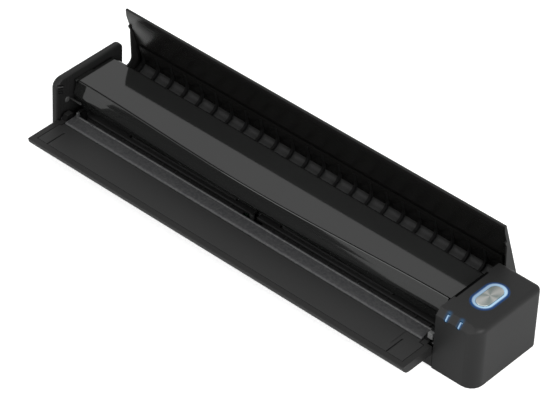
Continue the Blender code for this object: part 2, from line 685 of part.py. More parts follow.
def make_backing_strip():
    half = SCAN_WIDTH / 2 - POST_INSET_RIGHT / 2 - GAP
    return block("white_backing_strip", (SCAN_CENTRE - half, SCAN_CENTRE + half),
                 (STRIP_FRONT, STRIP_REAR),
                 (PAPER_HEIGHT - STRIP_THICK + GAP, PAPER_HEIGHT), WHITE)


# Driven shafts, sleeves, their two bearing plates and the gear train in the block.
MODULE = 0.5 * MM
DRIVE_TEETH = 24
IDLER_TEETH = 12
PINION_TEETH = 10
GEAR_WIDTH = 3 * MM
GEAR_INSET = 0.8 * MM
GEAR_BORE_GAP = 0.1 * MM
PLATE_GAP = 1.2 * MM
PLATE_THICK = 1.2 * MM
PLATE_FRONT = -14.5 * MM
PLATE_REAR = 16 * MM
PLATE_TOP = 27.4 * MM
PLATE_FOOT = 6 * MM
MOTOR_RADIUS = 6.5 * MM
MOTOR_LENGTH = 11 * MM
MOTOR_NOSE = 2 * MM
IDLER_AXLE = 1 * MM

GEAR_XS = (BLOCK_INNER_LEFT + GEAR_INSET, BLOCK_INNER_LEFT + GEAR_INSET + GEAR_WIDTH)
PLATE_XS = (GEAR_XS[1] + PLATE_GAP, GEAR_XS[1] + PLATE_GAP + PLATE_THICK)
SHAFT_LEFT = BEARING_XS["left"][0] - GAP
DRIVE_PITCH = MODULE * DRIVE_TEETH / 2
IDLER_PITCH = MODULE * IDLER_TEETH / 2
PINION_PITCH = MODULE * PINION_TEETH / 2
IDLER_Y = (FEED_Y + EJECT_Y) / 2
IDLER_RISE = math.sqrt((DRIVE_PITCH + IDLER_PITCH) ** 2 - ((EJECT_Y - FEED_Y) / 2) ** 2)
IDLER_Z = ROLLER_Z + IDLER_RISE
MOTOR_Z = IDLER_Z + IDLER_PITCH + PINION_PITCH
TO_IDLER = math.atan2(IDLER_RISE, IDLER_Y - FEED_Y)
IDLER_GAP = math.pi + TO_IDLER


def gear_outline(teeth, mesh_angle, on_tooth):
    """Trapezoid teeth, with a tooth or a gap centred on mesh_angle."""
    pitch_radius = MODULE * teeth / 2
    tip = pitch_radius + 0.8 * MODULE
    root = pitch_radius - 1.1 * MODULE
    step = 2 * math.pi / teeth
    start = mesh_angle + (0 if on_tooth else step / 2)
    shares = ((-0.3, root), (-0.13, tip), (0.13, tip), (0.3, root))
    points = []
    for i in range(teeth):
        for share, radius in shares:
            angle = start + (i + share) * step
            points.append((radius * math.cos(angle), radius * math.sin(angle)))
    return points


def tooth_in_gap(gap_angle, teeth, direction, next_teeth):
    """Tooth angle of the next gear, given one gap's angle and the line of centres."""
    step = 2 * math.pi / teeth
    miss = (direction - gap_angle + step / 2) % step - step / 2
    return direction + math.pi + miss * teeth / next_teeth


def make_gear(name, teeth, centre, mesh_angle, on_tooth, bore, mat):
    loops = [gear_outline(teeth, mesh_angle, on_tooth)]
    if bore:
        loops.append(circle(bore, 16))
    return prism(name, loops, *GEAR_XS, mat, place=(0, *centre))


def make_drive():
    pieces = {}
    shaft_end = PLATE_XS[1] + GAP
    bore = SHAFT_RADIUS + GEAR_BORE_GAP
    eject_angle = tooth_in_gap(IDLER_GAP, IDLER_TEETH, -TO_IDLER, DRIVE_TEETH)
    for name, y, angle in (("feed", FEED_Y, TO_IDLER), ("eject", EJECT_Y, eject_angle)):
        profile = [(0, shaft_end), (SHAFT_RADIUS, shaft_end), (SHAFT_RADIUS, SHAFT_LEFT),
                   (0, SHAFT_LEFT)]
        place = (0, y, ROLLER_Z)
        shaft = turned(name + "_shaft", profile, STEEL, place)
        gear = make_gear(name + "_gear", DRIVE_TEETH, (y, ROLLER_Z), angle, True, bore, NYLON)
        pieces[name] = [shaft, gear]
        for side, word in ((-1, "left"), (1, "right")):
            middle = SCAN_CENTRE + side * SLEEVE_SPREAD
            half = SLEEVE_LENGTH / 2
            crown = ROLLER_RADIUS - GAP / 2
            ends = [(ROLLER_RADIUS, middle + half - GAP), (ROLLER_RADIUS, middle - half + GAP)]
            tube = [(bore, middle + half), (crown, middle + half), *ends,
                    (crown, middle - half), (bore, middle - half)]
            sleeve = turned("%s_roller_%s" % (name, word), tube, RUBBER, place, ring=True)
            pieces[name].append(sleeve)
    idler = make_gear("idler_gear", IDLER_TEETH, (IDLER_Y, IDLER_Z), IDLER_GAP, False,
                      IDLER_AXLE + GEAR_BORE_GAP, NYLON)
    pieces["idler"] = [idler]
    return pieces


def make_bearing(name, xs):
    """Nylon plate between two floor ribs, bored for both driven shafts."""
    base = WALL + GAP
    plate = rounded([(BEARING_FRONT, base), (BEARING_REAR, base),
                     (BEARING_REAR, BEARING_TOP, WALL), (BEARING_FRONT, BEARING_TOP, WALL)])
    bore = SHAFT_RADIUS + BEARING_BORE_GAP
    bores = [circle(bore, 20, (y, ROLLER_Z)) for y in (FEED_Y, EJECT_Y)]
    return prism(name, [plate, *bores], *xs, NYLON)


def make_pinion():
    """Motor pinion with its shaft, in mesh with the idler below it."""
    angle = tooth_in_gap(IDLER_GAP, IDLER_TEETH, math.pi / 2, PINION_TEETH)
    centre = (IDLER_Y, MOTOR_Z)
    pinion = make_gear("motor_pinion", PINION_TEETH, centre, angle, True, 0, BRASS)
    join(pinion, rod("pinion_shaft_tool", PINION_PITCH / 3, GEAR_XS[1] - SINK,
                     PLATE_XS[1] + MOTOR_NOSE, centre, sides=12))
    return pinion


def make_gear_frame():
    """Upright plate with a foot and the idler's stub axle."""
    low, high = PLATE_XS
    base = WALL + GAP
    section = rounded([(PLATE_FRONT, base), (PLATE_REAR, base), (PLATE_REAR, PLATE_TOP, WALL),
                       (PLATE_FRONT, PLATE_TOP, 3 * WALL)])
    frame = prism("gear_frame", [section], low, high, STEEL)
    join(frame, block("frame_foot_tool", (high - SINK, high + PLATE_FOOT),
                      (PLATE_FRONT + WALL, PLATE_REAR - WALL), (base, base + PLATE_THICK)))
    for y in (FEED_Y, EJECT_Y):
        cut(frame, rod("frame_shaft_tool", SHAFT_RADIUS + GAP, low - OVERRUN, high + OVERRUN,
                       (y, ROLLER_Z), sides=16))
    cut(frame, rod("frame_nose_tool", PINION_PITCH / 3 + GAP, low - OVERRUN, high + OVERRUN,
                   (IDLER_Y, MOTOR_Z), sides=16))
    join(frame, rod("idler_axle_tool", IDLER_AXLE, GEAR_XS[0] - GAP, low + SINK,
                    (IDLER_Y, IDLER_Z), sides=16))
    return frame


def make_motor():
    """Small round can motor, its nose hole open for the pinion shaft."""
    low = PLATE_XS[1] + GAP
    high = low + MOTOR_LENGTH
    hole = PINION_PITCH / 3 + GAP
    cap = MOTOR_RADIUS / 2
    profile = [(0, high + GAP), (cap, high + GAP), (cap, high), (MOTOR_RADIUS, high - GAP),
               (MOTOR_RADIUS, low), (hole, low), (hole, low + MOTOR_NOSE + GAP),
               (0, low + MOTOR_NOSE + GAP)]
    return turned("drive_motor", profile, STEEL, (0, IDLER_Y, MOTOR_Z))


# Battery and boards
BATTERY_LENGTH = 70 * MM
BATTERY_START = 28 * MM
BATTERY_WIDTH = 8 * MM
BATTERY_HEIGHT = 7.4 * MM
MAIN_BOARD_LENGTH = BAY_LENGTH * 0.77
MAIN_BOARD_FRONT = -11.4 * MM
MAIN_BOARD_REAR = 13 * MM
CHIP_HEIGHT = 1 * MM
CHIP_SIZE = 8 * MM
CHIP_SHARES = (-0.42, -0.24, -0.1, 0.08, 0.22, 0.4)


def make_battery():
    start = BAY_LEFT + BATTERY_START
    front = FRONT + WALL + GAP
    base = WALL + GAP
    return soften(block("battery_pack", (start, start + BATTERY_LENGTH),
                        (front, front + BATTERY_WIDTH), (base, base + BATTERY_HEIGHT),
                        CELL_BLUE), WALL / 2)


def make_main_board():
    base = WALL + GAP
    half = MAIN_BOARD_LENGTH / 2
    board = block("main_board", (SCAN_CENTRE - half, SCAN_CENTRE + half),
                  (MAIN_BOARD_FRONT, MAIN_BOARD_REAR), (base, base + BOARD_THICK), BOARD_GREEN)
    for i, share in enumerate(CHIP_SHARES):
        x = SCAN_CENTRE + share * MAIN_BOARD_LENGTH
        y = IDLER_Y + (CHIP_SIZE / 4 if i % 2 else -CHIP_SIZE / 4)
        join(board, block("chip_tool", (x - CHIP_SIZE / 2, x + CHIP_SIZE / 2),
                          (y - CHIP_SIZE / 2, y + CHIP_SIZE / 2),
                          (base + BOARD_THICK - SINK, base + BOARD_THICK + CHIP_HEIGHT)))
    return board


CONNECTOR_BOARD_HEIGHT = 12 * MM
CONNECTOR_BOARD_START = 0.8 * MM
CONNECTOR_BOARD_LENGTH = 13.8 * MM


def make_connector_board():
    rear = BACK - CONNECTOR_BOARD_INSET
    start = BLOCK_INNER_LEFT + CONNECTOR_BOARD_START
    base = WALL + GAP
    return block("connector_board", (start, start + CONNECTOR_BOARD_LENGTH),
                 (rear - BOARD_THICK, rear), (base, base + CONNECTOR_BOARD_HEIGHT), BOARD_GREEN)


USB_FLUSH = 0.4 * MM
USB_WALL = 0.4 * MM
USB_TONGUE = 0.7 * MM


def make_usb_socket():
    front = BACK - CONNECTOR_BOARD_INSET + GAP
    half = USB_WIDTH / 2
    tall = USB_HEIGHT / 2
    shell = rounded([(-half, -tall, tall * 0.8), (half, -tall, tall * 0.8), (half, tall, tall / 2),
                     (-half, tall, tall / 2)])
    half -= USB_WALL
    tall -= USB_WALL
    mouth = rounded([(-half, -tall, tall * 0.8), (half, -tall, tall * 0.8), (half, tall, tall / 2),
                     (-half, tall, tall / 2)])
    back = BACK - USB_FLUSH
    place = (USB_X, 0, USB_Z)
    socket = prism("usb_socket", [shell], front, back, STEEL, axis="Y", place=place)
    cut(socket, prism("usb_mouth_tool", [mouth], front + USB_TONGUE, back + OVERRUN, axis="Y",
                      place=place))
    join(socket, block("usb_tongue_tool", (USB_X - half * 0.7, USB_X + half * 0.7),
                       (front + USB_TONGUE - SINK / 2, back - USB_TONGUE),
                       (USB_Z - USB_TONGUE / 2, USB_Z + USB_TONGUE / 2)))
    return socket


def make_wireless_switch():
    """Slide knob in the rear wall, drawn at the right end of its travel."""
    rest = SWITCH_X + SWITCH_TRAVEL / 2
    front = BACK - CONNECTOR_BOARD_INSET + GAP
    half = SWITCH_WIDTH / 2
    return soften(block("wireless_switch", (rest - half, rest + half),
                        (front, BACK + SWITCH_PROUD),
                        (SWITCH_Z - SWITCH_HEIGHT / 2, SWITCH_Z + SWITCH_HEIGHT / 2),
                        INNER_BLACK), GAP)


SETUP_TRAVEL = 0.4 * MM


def make_setup_button():
    front = BACK - CONNECTOR_BOARD_INSET + GAP + SETUP_TRAVEL
    return rod("setup_button", SETUP_RADIUS, front, BACK + SETUP_PROUD, (SWITCH_X, SETUP_Z),
               INNER_BLACK, axis="Y", sides=16)


# Scan button, its lit ring, the status light pipes and the board under them.
BUTTON_PROUD = 0.5 * MM
BUTTON_THICK = 2.4 * MM
BUTTON_TRAVEL = 0.4 * MM
BUTTON_EDGE = 0.6 * MM
STEM_RADIUS = 1.5 * MM
TACT_SIZE = 4 * MM
TACT_HEIGHT = 0.9 * MM
TACT_GAP = 0.5 * MM
BUTTON_BOARD_LEFT = 0.7 * MM
BUTTON_BOARD_RIGHT = 2.6 * MM
BUTTON_BOARD_FRONT = 3.2 * MM
BUTTON_BOARD_REAR = 10.5 * MM
BOARD_POST_SHIFT = 3.6 * MM
BUTTON_BOARD_XS = (BLOCK_INNER_LEFT + BUTTON_BOARD_LEFT, BLOCK_INNER_RIGHT - BUTTON_BOARD_RIGHT)
BUTTON_BOARD_YS = (FRONT + WALL + BUTTON_BOARD_FRONT, BACK - BUTTON_BOARD_REAR)
BOARD_POSTS = (
    (BUTTON_BOARD_XS[0] + BOARD_POST_SHIFT, BUTTON_BOARD_YS[1]),
    (BUTTON_BOARD_XS[1] - BOARD_POST_SHIFT, BUTTON_BOARD_YS[1]),
)


def make_button_board():
    """Board with the push switch and a notch for the front screw post."""
    board = block("button_board", BUTTON_BOARD_XS, BUTTON_BOARD_YS,
                  (BUTTON_BOARD_Z, BUTTON_BOARD_TOP), BOARD_GREEN)
    x, y = SCREW_SPOTS["block_screw_front"]
    reach = POST_RADIUS + GAP
    cut(board, block("board_notch_tool", (x - reach, BUTTON_BOARD_XS[1] + OVERRUN),
                     (BUTTON_BOARD_YS[0] - OVERRUN, y + reach),
                     (BUTTON_BOARD_Z - OVERRUN, BUTTON_BOARD_TOP + OVERRUN)))
    half = TACT_SIZE / 2
    join(board, block("tact_tool", (BUTTON_X - half, BUTTON_X + half),
                      (BUTTON_Y - half, BUTTON_Y + half),
                      (BUTTON_BOARD_TOP - SINK, BUTTON_BOARD_TOP + TACT_HEIGHT)))
    return board


def make_light_ring():
    outer = stadium(RING_LENGTH, RING_WIDTH)
    inner = stadium(RING_LENGTH - 2 * RING_WALL, RING_WIDTH - 2 * RING_WALL)
    return prism("button_light_ring", [outer, inner], BUTTON_BOARD_TOP + GAP,
                 BODY_HEIGHT + RING_PROUD, LIGHT_BLUE, axis="Z", place=(BUTTON_X, BUTTON_Y, 0))


def make_scan_button():
    cap_length = RING_LENGTH - 2 * (RING_WALL + GAP)
    cap_width = RING_WIDTH - 2 * (RING_WALL + GAP)
    top = BODY_HEIGHT + BUTTON_PROUD
    place = (BUTTON_X, BUTTON_Y, 0)
    button = prism("scan_button", [stadium(cap_length, cap_width)], top - BUTTON_THICK, top,
                   BRUSHED_SILVER, axis="Z", place=place)
    soften(button, BUTTON_EDGE)
    stem_low = BUTTON_BOARD_TOP + TACT_HEIGHT + TACT_GAP
    join(button, rod("button_stem_tool", STEM_RADIUS, stem_low, top - BUTTON_THICK + SINK,
                     (BUTTON_X, BUTTON_Y), axis="Z", sides=16))
    return button


def make_status_light(name, x):
    """L-shaped light pipe from the button board to its window in the front edge."""
    face = FRONT + GAP / 2
    turn = LED_TOP - LED_BOTTOM
    heel = BUTTON_BOARD_YS[0] + turn
    section = [(face, LED_BOTTOM), (heel - turn / 2, LED_BOTTOM),
               (heel - turn / 2, BUTTON_BOARD_TOP + GAP),
               (heel, BUTTON_BOARD_TOP + GAP), (heel, LED_BOTTOM + turn / 2),
               (heel - turn / 2, BLOCK_CEILING - GAP), (FRONT + WALL, BLOCK_CEILING - GAP),
               (FRONT + WALL, LED_TOP), (FRONT + BLOCK_TOP_ROUND / 5, LED_TOP),
               (face, LED_TOP - BLOCK_TOP_ROUND / 3)]
    return prism(name, [section], x - LED_WIDTH / 2, x + LED_WIDTH / 2, LIGHT_BLUE)


# Hinge pins reach from the end cap or the block wall into the moving piece.
PIN_REACH = 5.2 * MM
PIN_CHAMFER = 0.3 * MM


def make_pin(name, spot, side):
    if side == "left":
        low = BAY_LEFT - SOCKET_DEPTH + GAP
        high = BAY_LEFT + PIN_REACH
    else:
        low = BAY_RIGHT - PIN_REACH
        high = BLOCK_INNER_LEFT
    tip = PIN_RADIUS - PIN_CHAMFER
    profile = [(0, high), (tip, high), (PIN_RADIUS, high - PIN_CHAMFER),
               (PIN_RADIUS, low + PIN_CHAMFER), (tip, low), (0, low)]
    return turned(name, profile, STEEL, (0, *spot), sides=16)


# Feeding guide, drawn shut against the front of the body.
FEEDING_THICK = 5.25 * MM
FEEDING_EDGE_RADIUS = 5 * MM
FEEDING_RIM = 3.1 * MM
FEEDING_FLOOR_GAP = 3.85 * MM
FEEDING_PLATE_THICK = 1.6 * MM
FEEDING_SHELL = 1.5 * MM
FEEDING_RIBS = 7
RIB_THICK = 1.2 * MM
FEEDING_LEFT_GAP = 0.5 * MM
FEEDING_RIGHT_GAP = 0.5 * MM
MARK_INSETS = (10.5 * MM, 13.6 * MM)
MARK_START = 5 * MM
MARK_LENGTH = 12.6 * MM
MARK_WIDTH = 0.8 * MM
MARK_DEPTH = 0.8 * MM
ARM_LOBE = 4.6 * MM
ARM_LOBE_LOW = 3.3 * MM
ARM_LOBE_HIGH = 0.7 * MM
ARM_LOBE_ROUND = 0.8 * MM
ARM_SHOULDER = 2.2 * MM
ARM_ROOT = 1.6 * MM
FEEDING_LOW = FEEDING_HINGE_Z + FEEDING_FLOOR_GAP
FEEDING_BACK = FRONT + FEEDING_THICK
FEEDING_XS = (BAY_LEFT + FEEDING_LEFT_GAP, BAY_RIGHT - FEEDING_RIGHT_GAP)
FEEDING_PLATE_XS = (FEEDING_XS[0] + FEEDING_RIM + GAP, FEEDING_XS[1] - FEEDING_RIM - GAP)


def make_feeding_outer():
    rim_low = BODY_HEIGHT - FEEDING_RIM
    wall_back = FRONT + FEEDING_SHELL
    section = [(FRONT, FEEDING_LOW), (FRONT, BODY_HEIGHT, FEEDING_EDGE_RADIUS),
               (FEEDING_BACK, BODY_HEIGHT, GAP), (FEEDING_BACK, rim_low), (wall_back, rim_low),
               (wall_back, FEEDING_LOW)]
    outer = prism("feeding_guide_outer", [rounded(section)], *FEEDING_XS, SATIN_BLACK)
    plate_front = FEEDING_BACK - FEEDING_PLATE_THICK
    for low, high in ((FEEDING_XS[0], FEEDING_XS[0] + FEEDING_RIM),
                      (FEEDING_XS[1] - FEEDING_RIM, FEEDING_XS[1])):
        join(outer, block("rim_tool", (low, high), (wall_back - SINK, FEEDING_BACK),
                          (FEEDING_LOW, rim_low + SINK)))
    spacing = (FEEDING_PLATE_XS[1] - FEEDING_PLATE_XS[0]) / (FEEDING_RIBS + 1)
    for i in range(FEEDING_RIBS):
        x = FEEDING_PLATE_XS[0] + spacing * (i + 1)
        join(outer, block("rib_tool", (x - RIB_THICK / 2, x + RIB_THICK / 2),
                          (wall_back - SINK, plate_front - GAP),
                          (FEEDING_LOW + WALL, rim_low + SINK)))
    back = FEEDING_HINGE_Y + ARM_LOBE
    arm = [(FRONT, FEEDING_LOW + ARM_ROOT), (FRONT, FEEDING_HINGE_Z - FEEDING_HINGE_INSET,
                                             FEEDING_HINGE_INSET),
           (FEEDING_HINGE_Y, FEEDING_HINGE_Z - FEEDING_HINGE_INSET),
           (back, FEEDING_HINGE_Z - ARM_LOBE_LOW, ARM_LOBE_ROUND),
           (back, FEEDING_HINGE_Z + ARM_LOBE_HIGH, ARM_LOBE_ROUND),
           (FEEDING_BACK, FEEDING_HINGE_Z + ARM_SHOULDER),
           (FEEDING_BACK, FEEDING_LOW + ARM_ROOT)]
    for low, high in ARM_XS.values():
        join(outer, prism("arm_tool", [rounded(arm)], low, high))
        cut(outer, rod("arm_bore_tool", PIN_RADIUS + GAP, low - OVERRUN, high + OVERRUN,
                       HINGE_SPOTS["feeding"], sides=16))
    return outer


def make_feeding_plate():
    front = FEEDING_BACK - FEEDING_PLATE_THICK
    top = BODY_HEIGHT - FEEDING_RIM - GAP
    plate = block("feeding_guide_plate", FEEDING_PLATE_XS, (front, FEEDING_BACK),
                  (FEEDING_LOW, top), SATIN_BLACK)
    for (low, high), outside in zip(ARM_XS.values(), FEEDING_PLATE_XS):
        reach = sorted((low - GAP if outside > 0 else high + GAP,
                        outside + (OVERRUN if outside > 0 else -OVERRUN)))
        cut(plate, block("plate_notch_tool", reach, (front - OVERRUN, FEEDING_BACK + OVERRUN),
                         (FEEDING_LOW - OVERRUN, FEEDING_LOW + ARM_ROOT + GAP)))
    marks = (BAY_LEFT + MARK_INSETS[0], BAY_RIGHT - MARK_INSETS[1])
    for x in marks:
        cut(plate, block("mark_tool", (x - MARK_WIDTH / 2, x + MARK_WIDTH / 2),
                         (FEEDING_BACK - MARK_DEPTH, FEEDING_BACK + OVERRUN),
                         (FEEDING_LOW + MARK_START, FEEDING_LOW + MARK_START + MARK_LENGTH)))
    return plate


# Output guide, drawn shut over the top and the back of the body.
OUTPUT_FRONT = -18.2 * MM
OUTPUT_LOW = 16 * MM
OUTPUT_THICK = 2 * MM
OUTPUT_EDGE_RADIUS = 3.5 * MM
OUTPUT_TIP = 1.2 * MM
OUTPUT_LEFT_GAP = 0.3 * MM
OUTPUT_RIGHT_GAP = 0.5 * MM
FLANGE_THICK = 0.9 * MM
FLANGE_START = -7.2 * MM
FLANGE_NUB = 3 * MM
FLANGE_NUB_WIDTH = 1.6 * MM
FLANGE_FIRST = 2.6 * MM
FLANGE_LAST = 7.7 * MM
HINGE_EYE = 2.6 * MM
OUTPUT_XS = (BAY_LEFT + OUTPUT_LEFT_GAP, BAY_RIGHT - OUTPUT_RIGHT_GAP)


def make_output_outer():
    under = BODY_HEIGHT - OUTPUT_THICK
    inside = BACK - OUTPUT_THICK
    section = [(OUTPUT_FRONT, BODY_HEIGHT, GAP), (OUTPUT_FRONT, BODY_HEIGHT - OUTPUT_TIP, GAP),
               (OUTPUT_FRONT + 2 * OUTPUT_THICK, under),
               (inside, under, OUTPUT_EDGE_RADIUS - OUTPUT_THICK), (inside, OUTPUT_LOW),
               (BACK, OUTPUT_LOW), (BACK, BODY_HEIGHT, OUTPUT_EDGE_RADIUS)]
    outer = prism("output_guide_outer", [rounded(section)], *OUTPUT_XS, SATIN_BLACK)
    eye_low = OUTPUT_HINGE_Z - HINGE_EYE
    eye_front = OUTPUT_HINGE_Y - HINGE_EYE
    eye_back = OUTPUT_HINGE_Y + HINGE_EYE
    flange = [(FLANGE_START, under + SINK), (FLANGE_START, BODY_HEIGHT - FLANGE_NUB, GAP),
              (FLANGE_START + FLANGE_NUB_WIDTH, BODY_HEIGHT - FLANGE_NUB),
              (FLANGE_START + 2 * FLANGE_NUB_WIDTH, BODY_HEIGHT - FLANGE_FIRST),
              (eye_front + GAP, BODY_HEIGHT - FLANGE_LAST, OUTPUT_EDGE_RADIUS),
              (eye_front, OUTPUT_HINGE_Z), (eye_front, eye_low, HINGE_EYE * 0.98),
              (eye_back, eye_low, HINGE_EYE * 0.98), (inside + SINK, OUTPUT_HINGE_Z + WALL),
              (inside + SINK, under + SINK)]
    for low, high in ((OUTPUT_XS[0], OUTPUT_XS[0] + FLANGE_THICK),
                      (OUTPUT_XS[1] - FLANGE_THICK, OUTPUT_XS[1])):
        join(outer, prism("flange_tool", [rounded(flange)], low, high))
        cut(outer, rod("eye_bore_tool", PIN_RADIUS + GAP, low - OVERRUN, high + OVERRUN,
                       HINGE_SPOTS["output"], sides=16))
    return outer


# Inner U-turn guide: a curved sheet with thin ribs that lead the paper up and over.
TURN_LOW = 16.4 * MM
TURN_SHEET = 1 * MM
TURN_FRONT = 6.5 * MM
TURN_RADIUS = 5 * MM
RIB_FRONT = 18.9 * MM
RIB_TOP = BODY_HEIGHT - 3.55 * MM
RIB_RADIUS = 5.5 * MM
TURN_RIB_COUNT = 24
TURN_RIB_THICK = 1.3 * MM
TURN_END_GAP = 4.2 * MM
TURN_XS = (OUTPUT_XS[0] + TURN_END_GAP, OUTPUT_XS[1] - TURN_END_GAP)


def make_output_inner():
    outside = BACK - OUTPUT_THICK - GAP
    top = BODY_HEIGHT - OUTPUT_THICK - GAP
    sheet = outside - TURN_SHEET
    ceiling = top - TURN_SHEET
    section = [(outside, TURN_LOW), (outside, top, TURN_RADIUS), (TURN_FRONT, top),
               (TURN_FRONT, ceiling + TURN_SHEET / 2), (TURN_FRONT + 2 * TURN_SHEET, RIB_TOP),
               (RIB_FRONT, RIB_TOP, RIB_RADIUS), (RIB_FRONT, TURN_LOW)]
    inner = prism("output_guide_inner", [rounded(section)], *TURN_XS, INNER_BLACK)
    pitch = (TURN_XS[1] - TURN_XS[0] - TURN_RIB_THICK) / (TURN_RIB_COUNT - 1)
    bay = [(sheet, TURN_LOW - OVERRUN), (sheet, ceiling, TURN_RADIUS - TURN_SHEET),
           (TURN_FRONT + TURN_SHEET, ceiling), (TURN_FRONT + TURN_SHEET, RIB_TOP - OVERRUN),
           (RIB_FRONT - RIB_RADIUS, RIB_TOP - RIB_RADIUS), (RIB_FRONT - RIB_RADIUS, TURN_LOW - OVERRUN)]
    tool = prism("bay_tool", [rounded(bay)], TURN_XS[0] + TURN_RIB_THICK,
                 TURN_XS[0] + pitch)
    row = tool.modifiers.new("row", "ARRAY")
    row.use_relative_offset = False
    row.use_constant_offset = True
    row.constant_offset_displace = (pitch, 0, 0)
    row.count = TURN_RIB_COUNT - 1
    cut(inner, tool)
    return inner


# Upper unit: glossy panel and fascia on a frame that carries the image sensor.
PANEL_DROP = 4.1 * MM
PANEL_THICK = 1.6 * MM
PANEL_SEAM = -10.9 * MM
PANEL_BACK = 16.4 * MM
PANEL_BACK_RADIUS = 2.5 * MM
PANEL_SKIRT_LOW = 18.4 * MM
UNIT_LEFT_GAP = 0.4 * MM
UNIT_RIGHT_GAP = 3 * MM
NOTCH_FRONT = 0.2 * MM
SEAM = 0.5 * MM
SEAM_BOW = 3.9 * MM
SEAM_BOW_SPAN = BAY_LENGTH * 0.975
LID_SKEW = 1.6 * MM
BOW_STATIONS = 28
FASCIA_LEFT_GAP = 5.1 * MM
FASCIA_RIGHT_GAP = 3.8 * MM
FASCIA_THICK = 1.6 * MM
FASCIA_LIP = 2.1 * MM
FASCIA_EDGE = 0.5 * MM
FASCIA_EDGE_DROP = 0.6 * MM
FASCIA_UPPER = 1 * MM
FASCIA_UPPER_DROP = 4.1 * MM
FASCIA_BULGE = 2.6 * MM
FASCIA_BULGE_DROP = 8.4 * MM
FASCIA_WAIST = 0.9 * MM
FASCIA_WAIST_DROP = 12.6 * MM
FASCIA_LOW = 15.3 * MM
FASCIA_FOOT = -9.9 * MM
FASCIA_ROUND = 3.5 * MM
FRAME_THICK = 1.4 * MM
FRAME_DROP = 0.8 * MM
FRAME_FRONT = -8.6 * MM
FRAME_LOW = 16.6 * MM
CHANNEL_WALL = 1 * MM
SENSOR_BAR_BOTTOM = 16.7 * MM
SENSOR_GLASS_THICK = 1 * MM
END_PLATE_THICK = 2.4 * MM
END_PLATE_FRONT = -8.4 * MM
END_PLATE_INSET = 0.9 * MM
SPRING_ROOM = 2.1 * MM
PANEL_TOP = BODY_HEIGHT - PANEL_DROP
UNIT_XS = (BAY_LEFT + UNIT_LEFT_GAP, BAY_RIGHT - UNIT_RIGHT_GAP)
FRAME_TOP = PANEL_TOP - PANEL_THICK - FRAME_DROP
FRAME_XS = (UNIT_XS[0] + GAP, UNIT_XS[1] - GAP)
FASCIA_XS = (BAY_LEFT + FASCIA_LEFT_GAP, BAY_RIGHT - FASCIA_RIGHT_GAP)
SENSOR_BAR_TOP = FRAME_TOP - FRAME_THICK - SPRING_ROOM


def notch_for_flange(piece):
    """Cut back the left rear corner, where the output guide's flange swings down shut."""
    cut(piece, block("notch_tool", (UNIT_XS[0] - OVERRUN, OUTPUT_XS[0] + FLANGE_THICK + GAP),
                     (NOTCH_FRONT, BACK), (FRAME_LOW - OVERRUN, BODY_HEIGHT)))


def fascia_path(inset):
    """Side view of the fascia from its seam edge down to its foot, set back by inset."""
    top = PANEL_SEAM - SEAM / 2 + inset
    return [(top, PANEL_TOP),
            (top - FASCIA_EDGE, PANEL_TOP - FASCIA_EDGE_DROP, FASCIA_EDGE),
            (top - FASCIA_UPPER, PANEL_TOP - FASCIA_UPPER_DROP, FASCIA_ROUND),
            (top - FASCIA_BULGE, PANEL_TOP - FASCIA_BULGE_DROP, FASCIA_ROUND),
            (top - FASCIA_WAIST, PANEL_TOP - FASCIA_WAIST_DROP, FASCIA_ROUND),
            (FASCIA_FOOT + inset, FASCIA_LOW)]


def bow_share(z):
    """How much of the seam's bow a height takes: all of it at the top, none at the foot."""
    rise = (z - FASCIA_LOW) / (PANEL_TOP - FASCIA_LOW)
    return math.sin(rise * math.pi / 2) * (1 + 0.9 * rise * (1 - rise))


def bowed_prism(name, loop, xs, shares):
    """Outline swept along X; shares gives how much of the bow and the skew a point takes.

    The bow moves the middle forward, the skew moves the end at the block back."""
    shape = bmesh.new()
    rings = []
    for i in range(BOW_STATIONS + 1):
        x = xs[0] + (xs[1] - xs[0]) * i / BOW_STATIONS
        away = min(1, abs(x - SCAN_CENTRE) / (SEAM_BOW_SPAN / 2))
        moves = Vector((-SEAM_BOW * (1 - away * away) ** 2,
                        LID_SKEW * (x - UNIT_XS[0]) / (UNIT_XS[1] - UNIT_XS[0])))
        rings.append([shape.verts.new((x, y + moves.dot(shares(y, z)), z)) for y, z in loop])
    for near, far in zip(rings, rings[1:]):
        for j in range(len(loop)):
            shape.faces.new((near[j - 1], near[j], far[j], far[j - 1]))
    shape.faces.new(rings[0])
    shape.faces.new(rings[-1])
    bmesh.ops.recalc_face_normals(shape, faces=shape.faces)
    mesh = bpy.data.meshes.new(name)
    shape.to_mesh(mesh)
    shape.free()
    return add_object(name, mesh, GLOSS_BLACK)


def make_top_panel():
    """Flat top rolled over at the back; its front edge alone is bowed and skewed."""
    under = PANEL_TOP - PANEL_THICK
    inside = PANEL_BACK - PANEL_THICK
    front = PANEL_SEAM + SEAM / 2
    section = [(front, PANEL_TOP), (front, under), (inside, under, GAP),
               (inside, PANEL_SKIRT_LOW), (PANEL_BACK, PANEL_SKIRT_LOW),
               (PANEL_BACK, PANEL_TOP, PANEL_BACK_RADIUS)]
    panel = bowed_prism("top_panel", rounded(section), UNIT_XS,
                        lambda y, z: Vector((1, 1)) * float(y < front + GAP))
    notch_for_flange(panel)
    return panel


def make_front_fascia():
    """Glossy front of the cover: a thin lip at the seam, proud above the slot, and drawn
    back to its foot."""
    outer = fascia_path(0)
    seam = outer[0][0]
    inner = [(y + FASCIA_THICK, z, *radius) for y, z, *radius in outer[:1:-1]]
    section = outer + inner + [(seam, PANEL_TOP - FASCIA_LIP)]
    return bowed_prism("front_fascia", rounded(section), FASCIA_XS,
                       lambda y, z: Vector((bow_share(z), bow_share(z))))


